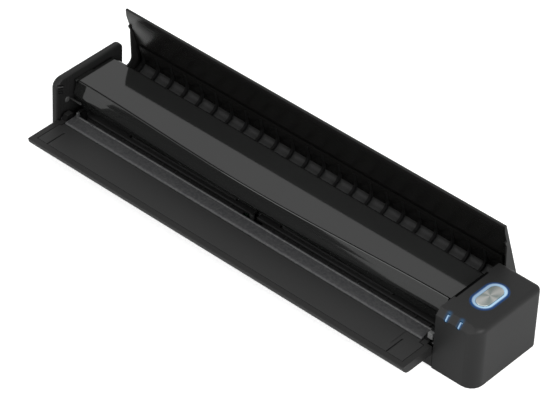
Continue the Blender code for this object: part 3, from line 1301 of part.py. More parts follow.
def make_upper_frame():
    """Carrier under the panel: a web, the sensor channel and two end plates."""
    back = PANEL_BACK - PANEL_THICK - GAP
    under = FRAME_TOP - FRAME_THICK
    web = block("upper_frame", FRAME_XS, (FRAME_FRONT, back), (under, FRAME_TOP), INNER_BLACK)
    channel = ((STRIP_FRONT - GAP - CHANNEL_WALL, STRIP_FRONT - GAP),
               (STRIP_REAR + GAP, STRIP_REAR + GAP + CHANNEL_WALL))
    for walls in channel:
        join(web, block("channel_tool", FRAME_XS, walls, (FRAME_LOW, under + SINK)))
    left_end = (FRAME_XS[0], FASCIA_XS[0] - GAP)
    right_end = (FRAME_XS[1] - END_PLATE_THICK, FRAME_XS[1])
    front_edge = [(y, min(z, FRAME_TOP)) for y, z in rounded(fascia_path(END_PLATE_INSET),
                                                             closed=False) if z > FRAME_LOW]
    side = [(back, FRAME_TOP), *front_edge, (FASCIA_FOOT + END_PLATE_INSET, FRAME_LOW),
            (back, FRAME_LOW)]
    join(web, prism("left_plate_tool", [side], *left_end))
    join(web, block("right_plate_tool", right_end, (END_PLATE_FRONT, back),
                    (FRAME_LOW, under + SINK)))
    for low, high in (left_end, right_end):
        for spot, radius in (((FEED_Y, PINCH_Z), PINCH_SHAFT_RADIUS),
                             ((EJECT_Y, PINCH_Z), PINCH_SHAFT_RADIUS),
                             (HINGE_SPOTS["cover"], PIN_RADIUS)):
            slot = rod("frame_bore_tool", radius + GAP, low - OVERRUN, high + OVERRUN, spot,
                       sides=16)
            cut(web, slot)
    notch_for_flange(web)
    return web


def make_sensor_bar():
    half = SCAN_WIDTH / 2
    return block("image_sensor_bar", (SCAN_CENTRE - half, SCAN_CENTRE + half),
                 (STRIP_FRONT, STRIP_REAR), (SENSOR_BAR_BOTTOM, SENSOR_BAR_TOP), INNER_BLACK)


def make_sensor_glass():
    half = SCAN_WIDTH / 2
    top = SENSOR_BAR_BOTTOM - GAP
    return block("sensor_glass", (SCAN_CENTRE - half, SCAN_CENTRE + half),
                 (STRIP_FRONT, STRIP_REAR), (top - SENSOR_GLASS_THICK, top), GLASS)


SPRING_WIDTH = 5 * MM
SPRING_LENGTH = 60 * MM
SPRING_THICK = 0.5 * MM


def make_sensor_spring():
    """Bowed leaf that presses the sensor bar down from the frame's web."""
    x = SCAN_CENTRE
    half = SPRING_LENGTH / 2
    low = SENSOR_BAR_TOP + GAP
    high = FRAME_TOP - FRAME_THICK - GAP
    rise = high - low - SPRING_THICK
    steps = 8
    under = []
    over = []
    for i in range(steps + 1):
        along = -1 + 2 * i / steps
        lift = low + rise * (1 - along * along)
        under.append((x + along * half, lift))
        over.append((x + along * half, lift + SPRING_THICK))
    middle = (STRIP_FRONT + STRIP_REAR) / 2
    return prism("sensor_spring", [under + over[::-1]], middle - SPRING_WIDTH / 2,
                 middle + SPRING_WIDTH / 2, STEEL, axis="Y")


PINCH_LENGTH = BAY_LENGTH * 0.057
PINCH_SHARES = (-0.36, -0.12, 0.12, 0.36)


def make_pinch_roller(name, y):
    """Free roller: a thin shaft with four plastic wheels, one turned body."""
    high = FRAME_XS[1] - GAP
    low = FRAME_XS[0] + GAP
    profile = [(0, high), (PINCH_SHAFT_RADIUS, high)]
    for share in reversed(PINCH_SHARES):
        middle = SCAN_CENTRE + share * SCAN_WIDTH
        half = PINCH_LENGTH / 2
        profile += [(PINCH_SHAFT_RADIUS, middle + half), (PINCH_RADIUS, middle + half),
                    (PINCH_RADIUS, middle - half), (PINCH_SHAFT_RADIUS, middle - half)]
    profile += [(PINCH_SHAFT_RADIUS, low), (0, low)]
    return turned(name, profile, NYLON, (0, y, PINCH_Z), sides=18)


def stand_on_origin(root):
    """Move the part so that its box is centred on the origin and stands on z = 0."""
    bpy.context.view_layer.update()
    scene_state = bpy.context.evaluated_depsgraph_get()
    corners = []
    for obj in PARTS.objects:
        if obj.type == "MESH":
            solid = obj.evaluated_get(scene_state)
            corners += [solid.matrix_world @ Vector(corner) for corner in solid.bound_box]
    lows = [min(corner[i] for corner in corners) for i in range(3)]
    highs = [max(corner[i] for corner in corners) for i in range(3)]
    root.location = (-(lows[0] + highs[0]) / 2, -(lows[1] + highs[1]) / 2, -lows[2])


def build():
    root = empty("body", (0, 0, 0))
    feeding_pivot = empty("feeding_guide_hinge", (0, FEEDING_HINGE_Y, FEEDING_HINGE_Z), root)
    output_pivot = empty("output_guide_hinge", (0, OUTPUT_HINGE_Y, OUTPUT_HINGE_Z), root)
    cover_pivot = empty("top_cover_hinge", (0, COVER_HINGE_Y, COVER_HINGE_Z), root)

    make_bottom_case()
    make_end_cap()
    make_housing()
    make_entry_ramp()
    make_lower_guide()
    make_backing_strip()
    make_sensor_flag()
    for name, spot in FOOT_SPOTS.items():
        make_foot(name, spot)
    for name, spot in SCREW_SPOTS.items():
        make_screw(name, spot)
    for side, xs in BEARING_XS.items():
        make_bearing("shaft_bearing_" + side, xs)
    make_drive()
    make_pinion()
    make_gear_frame()
    make_motor()
    make_battery()
    make_main_board()
    make_connector_board()
    make_usb_socket()
    make_wireless_switch()
    make_setup_button()
    make_button_board()
    make_light_ring()
    make_scan_button()
    for name, inset in zip(LED_NAMES, LED_INSETS):
        make_status_light(name, RIGHT - inset)
    for joint, spot in HINGE_SPOTS.items():
        for side in ("left", "right"):
            make_pin("%s_hinge_pin_%s" % (joint, side), spot, side)

    hang(feeding_pivot, make_feeding_outer(), make_feeding_plate())
    hang(output_pivot, make_output_outer(), make_output_inner())
    pinches = [make_pinch_roller("feed_pinch_roller", FEED_Y),
               make_pinch_roller("eject_pinch_roller", EJECT_Y)]
    hang(cover_pivot, make_top_panel(), make_front_fascia(), make_upper_frame(),
         make_sensor_bar(), make_sensor_glass(), make_sensor_spring(), *pinches)
    feeding_pivot.rotation_euler = (FEEDING_OPEN, 0, 0)
    output_pivot.rotation_euler = (-OUTPUT_OPEN, 0, 0)

    for group in (PARTS, CUTTERS):
        for obj in group.objects:
            if obj.parent is None and obj is not root:
                obj.parent = root
    stand_on_origin(root)
    for pivot in (feeding_pivot, output_pivot, cover_pivot):
        spot = root.location + pivot.location
        print(pivot.name, [round(value / MM, 3) for value in spot])


build()
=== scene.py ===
import math

import bmesh
import bpy
import numpy as np
from mathutils import Matrix, Vector


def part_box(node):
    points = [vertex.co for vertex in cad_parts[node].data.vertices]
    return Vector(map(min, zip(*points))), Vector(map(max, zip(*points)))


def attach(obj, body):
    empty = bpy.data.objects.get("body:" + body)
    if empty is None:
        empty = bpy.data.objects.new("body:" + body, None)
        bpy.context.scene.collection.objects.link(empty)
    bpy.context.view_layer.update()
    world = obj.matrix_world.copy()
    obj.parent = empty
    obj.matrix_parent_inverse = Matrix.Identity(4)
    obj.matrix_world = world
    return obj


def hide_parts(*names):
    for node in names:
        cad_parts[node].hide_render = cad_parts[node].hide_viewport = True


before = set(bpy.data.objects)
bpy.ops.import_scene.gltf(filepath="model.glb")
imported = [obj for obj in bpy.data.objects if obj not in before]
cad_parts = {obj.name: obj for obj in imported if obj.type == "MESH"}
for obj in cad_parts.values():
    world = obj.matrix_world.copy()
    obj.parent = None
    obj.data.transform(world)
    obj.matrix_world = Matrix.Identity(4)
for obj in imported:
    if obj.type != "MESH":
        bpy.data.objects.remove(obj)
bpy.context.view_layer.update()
MM = 0.001

# The camera stands in front of the control end, as the photograph was taken: a long lens
# looking down on the open scanner.
PHOTO_WIDTH = 543
FOCAL_PIXELS = 3200
SENSOR_WIDTH = 36
LOOK_AZIMUTH = math.radians(40.2126)
LOOK_ELEVATION = math.radians(39.4804)
LOOK_ROLL = math.radians(2.5664)
LOOK_DISTANCE = 1556.48 * MM
LOOK_RIGHT = -6.942 * MM
LOOK_UP = 14.486 * MM
LOOK_CENTRE = Vector((0, 2.768, 0.5)) * MM

side = Vector((math.cos(LOOK_AZIMUTH), math.sin(LOOK_AZIMUTH), 0))
back = Vector((math.sin(LOOK_AZIMUTH) * math.cos(LOOK_ELEVATION),
               -math.cos(LOOK_AZIMUTH) * math.cos(LOOK_ELEVATION), math.sin(LOOK_ELEVATION)))
rise = back.cross(side)
across = math.cos(LOOK_ROLL) * side + math.sin(LOOK_ROLL) * rise
upward = math.cos(LOOK_ROLL) * rise - math.sin(LOOK_ROLL) * side
camera = bpy.data.objects.new("camera", bpy.data.cameras.new("camera"))
bpy.context.scene.collection.objects.link(camera)
camera.data.sensor_width = SENSOR_WIDTH
camera.data.lens = SENSOR_WIDTH * FOCAL_PIXELS / PHOTO_WIDTH
stand = Matrix((across, upward, back)).transposed().to_4x4()
stand.translation = (LOOK_RIGHT * across + LOOK_UP * upward + LOOK_DISTANCE * back
                     + LOOK_CENTRE)
camera.matrix_world = stand
bpy.context.scene.camera = camera


# Every finish is a node material. Sums on its values are written as plain expressions,
# and each operator adds the Math node that does it.
class Value:
    """One socket of a node tree, ready for sums."""

    def __init__(self, owner, socket):
        self.owner = owner
        self.socket = socket

    def math(self, operation, other=0.0, clamp=False):
        """A Math node that takes this value first and the other second."""
        return self.owner.node("ShaderNodeMath", {"operation": operation, "use_clamp": clamp},
                               {0: self, 1: other})

    def __add__(self, other):
        return self.math("ADD", other)

    def __sub__(self, other):
        return self.math("SUBTRACT", other)

    def __rsub__(self, other):
        return self.owner.node("ShaderNodeMath", {"operation": "SUBTRACT"}, {0: other, 1: self})

    def __mul__(self, other):
        return self.math("MULTIPLY", other)

    def __truediv__(self, other):
        return self.math("DIVIDE", other)

    def __pow__(self, other):
        return self.math("POWER", other)

    __radd__ = __add__
    __rmul__ = __mul__

    def clipped(self):
        """Held between 0 and 1."""
        return self.math("ADD", clamp=True)

    def above(self, level):
        """1 where the value is more than level, else 0."""
        return self.math("GREATER_THAN", level)


class Nodes:
    """A node tree whose nodes all come from one method."""

    def __init__(self, tree):
        self.tree = tree

    def node(self, kind, settings, sockets, output=0):
        """A node of this kind: its settings first, then the values or links of its sockets."""
        made = self.tree.nodes.new(kind)
        for setting, value in settings.items():
            setattr(made, setting, value)
        for socket, value in sockets.items():
            if isinstance(value, Value):
                self.tree.links.new(value.socket, made.inputs[socket])
            else:
                made.inputs[socket].default_value = value
        return Value(self, made.outputs[output])


class Finish(Nodes):
    """A material: fixed numbers go on the shader's sockets, what varies is fed in by name."""

    def __init__(self, name, slot=None, **fixed):
        self.material = bpy.data.materials.new(name)
        self.material.use_nodes = True
        super().__init__(self.material.node_tree)
        self.slot = slot or name
        self.shader = self.tree.nodes["Principled BSDF"]
        for socket, value in fixed.items():
            self.shader.inputs[socket.replace("_", " ")].default_value = value
        self.place = self.node("ShaderNodeTexCoord", {}, {}, "Object")

    def noise(self, size, detail=2.0):
        """Soft noise whose blotches are about size metres wide."""
        return self.node("ShaderNodeTexNoise", {},
                         {"Vector": self.place, "Scale": 1 / size, "Detail": detail})

    def mix(self, share, first, second):
        """Colour between two colours by a share of the second."""
        return self.node("ShaderNodeMix", {"data_type": "RGBA"},
                         {0: share, 6: first, 7: second}, 2)

    def feed(self, socket, value):
        self.tree.links.new(value.socket, self.shader.inputs[socket])

    def bump(self, height, depth, strength):
        """Relief of a height field, depth metres from its lows to its highs."""
        self.feed("Normal", self.node("ShaderNodeBump", {},
                                      {"Height": height, "Distance": depth,
                                       "Strength": strength}))

    def split(self):
        """The three coordinates of a point on the piece."""
        return [self.node("ShaderNodeSeparateXYZ", {}, {0: self.place}, i) for i in range(3)]


def grey(level, tint=(0.0, 0.0, 0.0)):
    """Linear colour with its alpha, from a level and a small tint."""
    return (level + tint[0], level + tint[1], level + tint[2], 1)


# Stage: a white table top that keeps a soft shadow, in a pale room, with three soft lamps.
# The lamps stand outside the room that the polished cover mirrors to the camera.
TABLE_REACH = 3.0
TABLE_GLOWS = (("Is Camera Ray", 0.7), ("Is Glossy Ray", 0.25), ("Is Transmission Ray", 0.25))
ROOM_COLOR = grey(0.44, (0.0, 0.012, 0.006))
LAMPS = (
    ("lamp_right", (0.95, -0.25, 0.35), 0.7, 8.0),
    ("lamp_front", (-0.25, -1.0, 0.45), 0.9, 5.0),
    ("lamp_top", (0.3, -0.2, 1.3), 0.8, 4.0),
)

table = bpy.data.meshes.new("table")
table.from_pydata([(-TABLE_REACH, -TABLE_REACH, 0), (TABLE_REACH, -TABLE_REACH, 0),
                   (TABLE_REACH, TABLE_REACH, 0), (-TABLE_REACH, TABLE_REACH, 0)],
                  [], [(0, 1, 2, 3)])
table_top = bpy.data.objects.new("table", table)
bpy.context.scene.collection.objects.link(table_top)
table_white = Finish("table_white", Roughness=0.8, Specular_IOR_Level=0.0,
                     Base_Color=grey(0.8), Emission_Color=grey(1.0))
glows = [share * table_white.node("ShaderNodeLightPath", {}, {}, ray)
         for ray, share in TABLE_GLOWS]
table_white.feed("Emission Strength", glows[0] + glows[1] + glows[2])
table.materials.append(table_white.material)

world = bpy.data.worlds.new("room")
bpy.context.scene.world = world
world.use_nodes = True
air = Nodes(world.node_tree)
walls = air.tree.nodes["Background"]
walls.inputs["Color"].default_value = ROOM_COLOR
bright = air.node("ShaderNodeBackground", {}, {"Color": grey(1.0)})
diffuse = air.node("ShaderNodeLightPath", {}, {}, "Is Diffuse Ray")
shown = air.node("ShaderNodeMixShader", {}, {0: 1.0 - diffuse, 1: Value(air, walls.outputs[0]),
                                             2: bright})
air.tree.links.new(shown.socket, air.tree.nodes["World Output"].inputs["Surface"])

for name, place, size, power in LAMPS:
    light = bpy.data.lights.new(name, "AREA")
    light.size = size
    light.energy = power
    lamp = bpy.data.objects.new(name, light)
    bpy.context.scene.collection.objects.link(lamp)
    lamp.location = place
    lamp.rotation_mode = "QUATERNION"
    lamp.rotation_quaternion = Vector(place).to_track_quat("Z", "Y")

bpy.context.scene.view_settings.view_transform = "Standard"


# Case and control block: fine-textured black plastic mouldings, screwed together from below.
# Each solid is taken over with its square edges eased and its rounds shaded smooth. The
# block's front top corner is cut to a flat band, which carries the two status lights.
EASE = 0.22 * MM
EASE_STEPS = 3
MERGE = 0.005 * MM
FLAT = math.radians(0.5)
SHARP = math.radians(32)
BAND_FOOT = (-20.98 * MM, 33.2 * MM)
BAND_HEAD = (-17.9 * MM, 36.5 * MM)
BAND_SLACK = 0.01


def grained(finish, rough, grain_size=0.35 * MM, relief=0.02 * MM):
    """The feel of moulded or machined stock: a fine grain changes the gloss a little and stands
    up by relief. Gives back the broad patches in which the gloss drifts."""
    grain = finish.noise(grain_size, detail=3.0)
    drift = finish.noise(30 * MM, detail=4.0)
    finish.feed("Roughness", rough + 0.12 * grain + 0.05 * drift)
    finish.bump(grain, relief, strength=0.5)
    return drift


def moulded(name, low, high, rough, grain_size=0.35 * MM, relief=0.02 * MM, **fixed):
    """Grained stock whose colour drifts from low to high in broad patches."""
    finish = Finish(name, **fixed)
    drift = grained(finish, rough, grain_size, relief)
    finish.feed("Base Color", finish.mix(drift, low, high))
    return finish


def merged(node):
    """A solid's own faces with their doubles merged and flat areas made one face each."""
    shape = bmesh.new()
    shape.from_mesh(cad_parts[node].data)
    bmesh.ops.remove_doubles(shape, verts=shape.verts, dist=MERGE)
    bmesh.ops.dissolve_limit(shape, angle_limit=FLAT, verts=shape.verts, edges=shape.edges)
    return shape


def skin(shape, name):
    """The edited faces as a mesh."""
    mesh = bpy.data.meshes.new(name + "_skin")
    shape.to_mesh(mesh)
    shape.free()
    return mesh


def points_of(mesh):
    """The mesh's points as an array (n, 3)."""
    places = np.empty(len(mesh.vertices) * 3)
    mesh.vertices.foreach_get("co", places)
    return places.reshape(-1, 3)


def banded(node, proud=0.0):
    """A solid whose front top corner is drawn back on to the flat band: a point in front of
    the band moves straight back to it. A point's place on the band goes evenly from the foot
    to the head with its height."""
    shape = merged(node)
    bmesh.ops.bisect_plane(shape, geom=[*shape.verts, *shape.edges, *shape.faces], dist=MERGE,
                           plane_co=(0, 0, BAND_FOOT[1]), plane_no=(0, 0, 1))
    mesh = skin(shape, node)
    places = points_of(mesh)
    climb = (places[:, 2] - BAND_FOOT[1]) / (BAND_HEAD[1] - BAND_FOOT[1])
    band = BAND_FOOT[0] + climb * (BAND_HEAD[0] - BAND_FOOT[0]) - proud
    places[:, 1] = np.where(climb > -BAND_SLACK, np.maximum(places[:, 1], band), places[:, 1])
    mesh.vertices.foreach_set("co", places.ravel())
    mesh.update()
    return mesh


def dressed(mesh, body, finish, *nodes, ease=0.0, others=()):
    """Put a mesh on show: its finish, its eased edges, the body it rides and what it replaces."""
    for coat in (finish, *others):
        mesh.materials.append(coat.material)
    mesh.shade_smooth()
    mesh.set_sharp_from_angle(angle=SHARP)
    piece = bpy.data.objects.new(mesh.name, mesh)
    bpy.context.scene.collection.objects.link(piece)
    if ease:
        step = piece.modifiers.new("eased", "BEVEL")
        step.width = ease
        step.segments = EASE_STEPS
        step.limit_method = "ANGLE"
        step.angle_limit = SHARP
    flats = piece.modifiers.new("flats", "WEIGHTED_NORMAL")
    flats.keep_sharp = True
    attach(piece, body)
    if nodes:
        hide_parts(*nodes)


def eased(node, body, finish, ease=EASE):
    """A solid's own faces, merged, with square edges rounded by ease and shaded smooth."""
    dressed(skin(merged(node), node), body, finish, node, ease=ease)


satin = moulded("satin_black", grey(0.010), grey(0.014, (0.0006, 0.0002, 0)), rough=0.36,
                Specular_IOR_Level=0.2)

# The block's plastic is painted darker close to the lit ring, and a blue glow is painted in its
# emission colour there and round the two lights, as their light spilling on to it.
RING_SPINE = (123.5 * MM, 3.27 * MM, 4.6 * MM, 5.7 * MM)
SLIT_XS = (117.3 * MM, 124.7 * MM)
SLIT_FOOT = 33.8 * MM
SLIT_HEAD = -18.4 * MM
RING_SPREAD = 1.1 * MM
RING_FALL = 0.5
RING_PAINTED_GLOW = (0.0, 0.04, 0.15, 1)
LIGHT_SPREAD = 2.1 * MM
LIGHT_FALL = 1.4
LIGHTS_PAINTED_GLOW = (0.0, 0.06, 0.15, 1)


def beyond(finish, spine):
    """How far a point lies outside a slot shape, seen from above: the slot is centred at x and
    mid, its straight part reaches half each way along Y, and its ends are round."""
    x, mid, half, radius = spine
    spot = finish.split()
    off = spot[0] - x
    past = ((spot[1] - mid).math("ABSOLUTE") - half).math("MAXIMUM")
    return (off * off + past * past) ** 0.5 - radius


block_black = Finish("block_black", "satin_black", Specular_IOR_Level=0.2,
                     Emission_Strength=1.0)
grained(block_black, rough=0.36)
near_ring = (1.0 - beyond(block_black, RING_SPINE) / RING_SPREAD).clipped()
spot = block_black.split()
below = (SLIT_FOOT - spot[2]).math("MAXIMUM")
behind = (spot[1] - SLIT_HEAD).math("MAXIMUM")
near_lights = [(1.0 - ((spot[0] - x) ** 2.0 + below * below + behind * behind) ** 0.5
                / LIGHT_SPREAD).clipped() ** LIGHT_FALL for x in SLIT_XS]
near_light = (near_lights[0] + near_lights[1]).clipped()
# Painted light: a blue glow fades out from the ring and the two slits; the plastic is painted
# darker near the ring.
ring_painted_glow = block_black.mix(near_ring ** RING_FALL, grey(0), RING_PAINTED_GLOW)
block_black.feed("Base Color", block_black.mix(near_ring, grey(0.012), grey(0.003)))
block_black.feed("Emission Color", block_black.mix(near_light, ring_painted_glow, LIGHTS_PAINTED_GLOW))
dressed(banded("control_housing"), "scanner_body", block_black, "control_housing", ease=EASE)
eased("bottom_case", "scanner_body", satin)


# End cap: a flat cheek of the full section, its outer edge rolled over and its inner edge
# broken. On its inner face, finely fluted where the lid closes against it, are the short slots
# and the lip of the feeding guide's catch, painted pale grey as a highlight on its edge, and
# the guide's pale round stop.
CAP_THICK = 3.9 * MM
CAP_OUTER_ROLL = 1.1 * MM
CAP_INNER_ROLL = 1.2 * MM
CAP_CORNERS = (1 * MM, 1 * MM, 3.5 * MM, 5 * MM)
CAP_LEAST_ROUND = 0.1 * MM
CAP_ROLL_STEPS = 6
CATCH_SPAN = (-20.3 * MM, -16.6 * MM)
CATCH_SLOTS = ((33.7 * MM, 34.3 * MM), (31.9 * MM, 32.6 * MM), (30.2 * MM, 30.7 * MM),
               (28.9 * MM, 29.3 * MM))
CATCH_LIP = (32.7 * MM, 33.4 * MM)
CATCH_LIP_RISE = (-0.1 * MM, 0.2 * MM)
CATCH_DEPTH = 0.6 * MM
CATCH_CLEAR = 1 * MM
CATCH_FALL = 0.42
STOP_PLACE = (-13.8 * MM, 22.2 * MM)
STOP_RADIUS = 1.6 * MM
STOP_CROWN = 0.3
STOP_SUNK = 0.2 * MM
STOP_STANDS = 0.4 * MM
STOP_STEPS = 7
FLUTES_LEFT = -133.2 * MM
FLUTES_REAR = -8.0 * MM
FLUTES_FADE = 1 * MM
FLUTE_PITCH = 1.1 * MM
FLUTE_DEPTH = 0.25 * MM
WELD = 0.0025 * MM
SLIVER = 0.001 * MM


def filleted(corners, radii, steps=6):
    """Closed outline of corners (..., n, 2), each given way to an arc that touches both sides.

    The arc is centred on the corner's bisector at radius / sin(half angle), and its points
    are turned evenly from one touching point to the other."""
    corners = np.asarray(corners, float)
    radii = np.broadcast_to(np.asarray(radii, float), corners.shape[:-1])[..., None]
    before = np.roll(corners, 1, -2) - corners
    after = np.roll(corners, -1, -2) - corners
    before /= np.linalg.norm(before, axis=-1, keepdims=True)
    after /= np.linalg.norm(after, axis=-1, keepdims=True)
    half = np.arccos(np.clip((before * after).sum(-1, keepdims=True), -1, 1)) / 2
    inward = before + after
    inward /= np.linalg.norm(inward, axis=-1, keepdims=True)
    centre = (corners + inward * radii / np.sin(half))[..., None, :]
    start = (corners + before * radii / np.tan(half))[..., None, :] - centre
    stop = (corners + after * radii / np.tan(half))[..., None, :] - centre
    turn = (np.pi - 2 * half)[..., None, :]
    share = np.linspace(0, 1, steps + 1)[:, None]
    arc = (start * np.sin((1 - share) * turn) + stop * np.sin(share * turn)) / np.sin(turn)
    return (centre + arc).reshape(*corners.shape[:-2], -1, 2)


def lofted(name, rings):
    """Closed skin over rings of points (stations, points, 3), with one face on each end."""
    stations, points, _ = rings.shape
    near = np.arange(stations - 1)[:, None] * points
    here = np.arange(points)[None, :]
    after = (here + 1) % points
    sides = np.stack([near + here, near + after, near + after + points,
                      near + here + points], -1).reshape(-1, 4)
    last = (stations - 1) * points
    faces = sides.tolist() + [list(range(points)), list(range(last, last + points))]
    return closed(name, rings.reshape(-1, 3), faces)


def closed(name, points, faces):
    """Mesh of points and faces with doubles merged and every face turned outwards."""
    mesh = bpy.data.meshes.new(name)
    mesh.from_pydata(np.asarray(points).tolist(), [], faces)
    shape = bmesh.new()
    shape.from_mesh(mesh)
    bmesh.ops.remove_doubles(shape, verts=shape.verts, dist=WELD)
    bmesh.ops.dissolve_degenerate(shape, edges=shape.edges, dist=SLIVER)
    bmesh.ops.recalc_face_normals(shape, faces=shape.faces)
    shape.to_mesh(mesh)
    shape.free()
    return mesh


def cuboids(name, spans):
    """Closed boxes from low and high corners (n, 2, 3): corner k of a box takes its x, y and z
    from the low or the high corner by the three bits of k."""
    spans = np.asarray(spans, float)
    bits = (np.arange(8)[:, None] >> np.arange(3)) & 1
    points = np.where(bits, spans[:, 1, None], spans[:, 0, None]).reshape(-1, 3)
    sides = np.array([(0, 2, 3, 1), (4, 5, 7, 6), (0, 1, 5, 4), (2, 6, 7, 3), (0, 4, 6, 2),
                      (1, 3, 7, 5)])
    faces = (np.arange(len(spans))[:, None, None] * 8 + sides).reshape(-1, 4)
    return closed(name, points, faces.tolist())


def sloped(mesh):
    """The mesh with every point sunk by CATCH_FALL times its way back from the catch's front."""
    places = points_of(mesh)
    places[:, 2] -= CATCH_FALL * (places[:, 1] - CATCH_SPAN[0])
    mesh.vertices.foreach_set("co", places.ravel())
    return mesh


def hollowed(mesh, cutter):
    """The mesh with the cutter's closed shape taken out of it."""
    pair = [bpy.data.objects.new(one.name, one) for one in (mesh, cutter)]
    for one in pair:
        bpy.context.scene.collection.objects.link(one)
    step = pair[0].modifiers.new("hollowed", "BOOLEAN")
    step.operation = "DIFFERENCE"
    step.solver = "EXACT"
    step.object = pair[1]
    graph = bpy.context.evaluated_depsgraph_get()
    made = bpy.data.meshes.new_from_object(pair[0].evaluated_get(graph))
    for one in pair:
        bpy.data.objects.remove(one)
    return made


def along_x(xs, outline):
    """Rings of (y, z) outlines set at places along X."""
    xs = np.asarray(xs, float)
    outline = np.broadcast_to(outline, (len(xs), *outline.shape[-2:]))
    places = np.broadcast_to(xs[:, None, None], (*outline.shape[:2], 1))
    return np.concatenate([places, outline], -1)


cheek_black = Finish("cheek_black", "satin_black", Specular_IOR_Level=0.2)
grain = cheek_black.noise(0.35 * MM, detail=3.0)
spot = cheek_black.split()
fluted = (((spot[0] - FLUTES_LEFT) / FLUTES_FADE).clipped()
          * ((FLUTES_REAR - spot[1]) / FLUTES_FADE).clipped())
waves = 0.5 + 0.5 * (spot[1] * (2 * math.pi / FLUTE_PITCH)).math("SINE")
cheek_black.feed("Base Color", cheek_black.mix(grain, grey(0.008), grey(0.012)))
cheek_black.feed("Roughness", 0.40 + 0.12 * grain)
cheek_black.bump(0.08 * grain + fluted * waves, FLUTE_DEPTH, strength=0.6)

cap_low, cap_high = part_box("left_end_cap")
cheek_face = cap_low[0] + CAP_THICK
roll = np.linspace(0, np.pi / 2, CAP_ROLL_STEPS)
cap_xs = np.concatenate([cap_low[0] + CAP_OUTER_ROLL * (1 - np.cos(roll)),
                         cheek_face - CAP_INNER_ROLL * (1 - np.sin(roll))])
cap_insets = np.concatenate([CAP_OUTER_ROLL * (1 - np.sin(roll)),
                             CAP_INNER_ROLL * (1 - np.cos(roll))])
cap_feet = np.array(cap_low)[1:] + cap_insets[:, None]
cap_heads = np.array(cap_high)[1:] - cap_insets[:, None]
cap_corners = np.array([[(y0, z0), (y1, z0), (y1, z1), (y0, z1)]
                        for (y0, z0), (y1, z1) in zip(cap_feet, cap_heads)])
cap_radii = np.maximum(np.array(CAP_CORNERS) - cap_insets[:, None], CAP_LEAST_ROUND)
cheek = lofted("end_cap", along_x(cap_xs, filleted(cap_corners, cap_radii)))
catch = cuboids("catch_slots", [((cheek_face - CATCH_DEPTH, CATCH_SPAN[0], z0),
                                 (cheek_face + CATCH_CLEAR, CATCH_SPAN[1], z1))
                                for z0, z1 in CATCH_SLOTS])
dressed(hollowed(cheek, sloped(catch)), "scanner_body", cheek_black, "left_end_cap")


def spun(name, xs, radii, place, sides=28):
    """Closed skin turned about an axis along X through place (y, z): each station of xs has a
    ring of its own radius."""
    turn = np.linspace(0, 2 * np.pi, sides, endpoint=False)
    ring = np.stack([np.cos(turn), np.sin(turn)], -1)
    return lofted(name, along_x(xs, np.asarray(place) + np.asarray(radii)[:, None, None] * ring))


stop_grey_and_lip_highlight = moulded("stop_grey_and_lip_highlight", grey(0.035), grey(0.06), rough=0.45, slot="satin_black",
                    Specular_IOR_Level=0.3)
# The catch's lip takes the stop's pale grey as a painted highlight along its edge.
lip_span = ((cheek_face + CATCH_LIP_RISE[0], CATCH_SPAN[0], CATCH_LIP[0]),
            (cheek_face + CATCH_LIP_RISE[1], CATCH_SPAN[1], CATCH_LIP[1]))
dressed(sloped(cuboids("catch_lip", [lip_span])), "scanner_body", stop_grey_and_lip_highlight, ease=0.08 * MM)
dome = np.linspace(0, np.pi / 2, STOP_STEPS)
stop_xs = cheek_face + np.concatenate([(-STOP_SUNK,), STOP_STANDS * np.sin(dome)])
stop_radii = STOP_RADIUS * np.concatenate([(1,), STOP_CROWN + (1 - STOP_CROWN) * np.cos(dome)])
dressed(spun("guide_stop", stop_xs, stop_radii, STOP_PLACE), "scanner_body", stop_grey_and_lip_highlight)


# Top panel: the polished lid, one glossy moulding that rolls down at the back. Its front edge
# bows forward in the middle and meets the fascia in a fine groove; its left rear is cut back
# for the output guide's arm.
SEAM_Y = -10.9 * MM + LOOK_CENTRE.y
SEAM_GROOVE = 0.5 * MM
SEAM_BOW = 3.9 * MM
BOW_SHARE = 0.975
LID_SKEW = 1.6 * MM
PANEL_THICK = 1.6 * MM
PANEL_STATIONS = 60
PANEL_RADII = (0.12 * MM, 0.1 * MM, 1 * MM, 0.2 * MM, 0.3 * MM, 2.5 * MM)
NOTCH_END = -131.1 * MM
NOTCH_FRONT = 2.97 * MM

gloss = Finish("gloss_black", IOR=1.5)
ripple = gloss.noise(14 * MM, detail=1.0)
haze = gloss.noise(45 * MM, detail=5.0)
gloss.feed("Base Color", gloss.mix(haze, grey(0.008), grey(0.012, (0, 0.0006, 0))))
gloss.feed("Roughness", 0.035 + 0.05 * haze)
gloss.bump(ripple, depth=0.01 * MM, strength=0.4)

panel_low, panel_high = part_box("top_panel")
block_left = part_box("control_housing")[0][0]
bay_centre = (cheek_face + block_left) / 2
bow_reach = BOW_SHARE * (block_left - cheek_face) / 2


def lead(xs):
    """How far the seam lies back from its left end: the lid's skew, which grows evenly to the
    block, less the bow, a bell that is the square of 1 - t squared."""
    t = np.clip((xs - bay_centre) / bow_reach, -1, 1)
    along = (xs - panel_low[0]) / (panel_high[0] - panel_low[0])
    return LID_SKEW * along - SEAM_BOW * (1 - t * t) ** 2


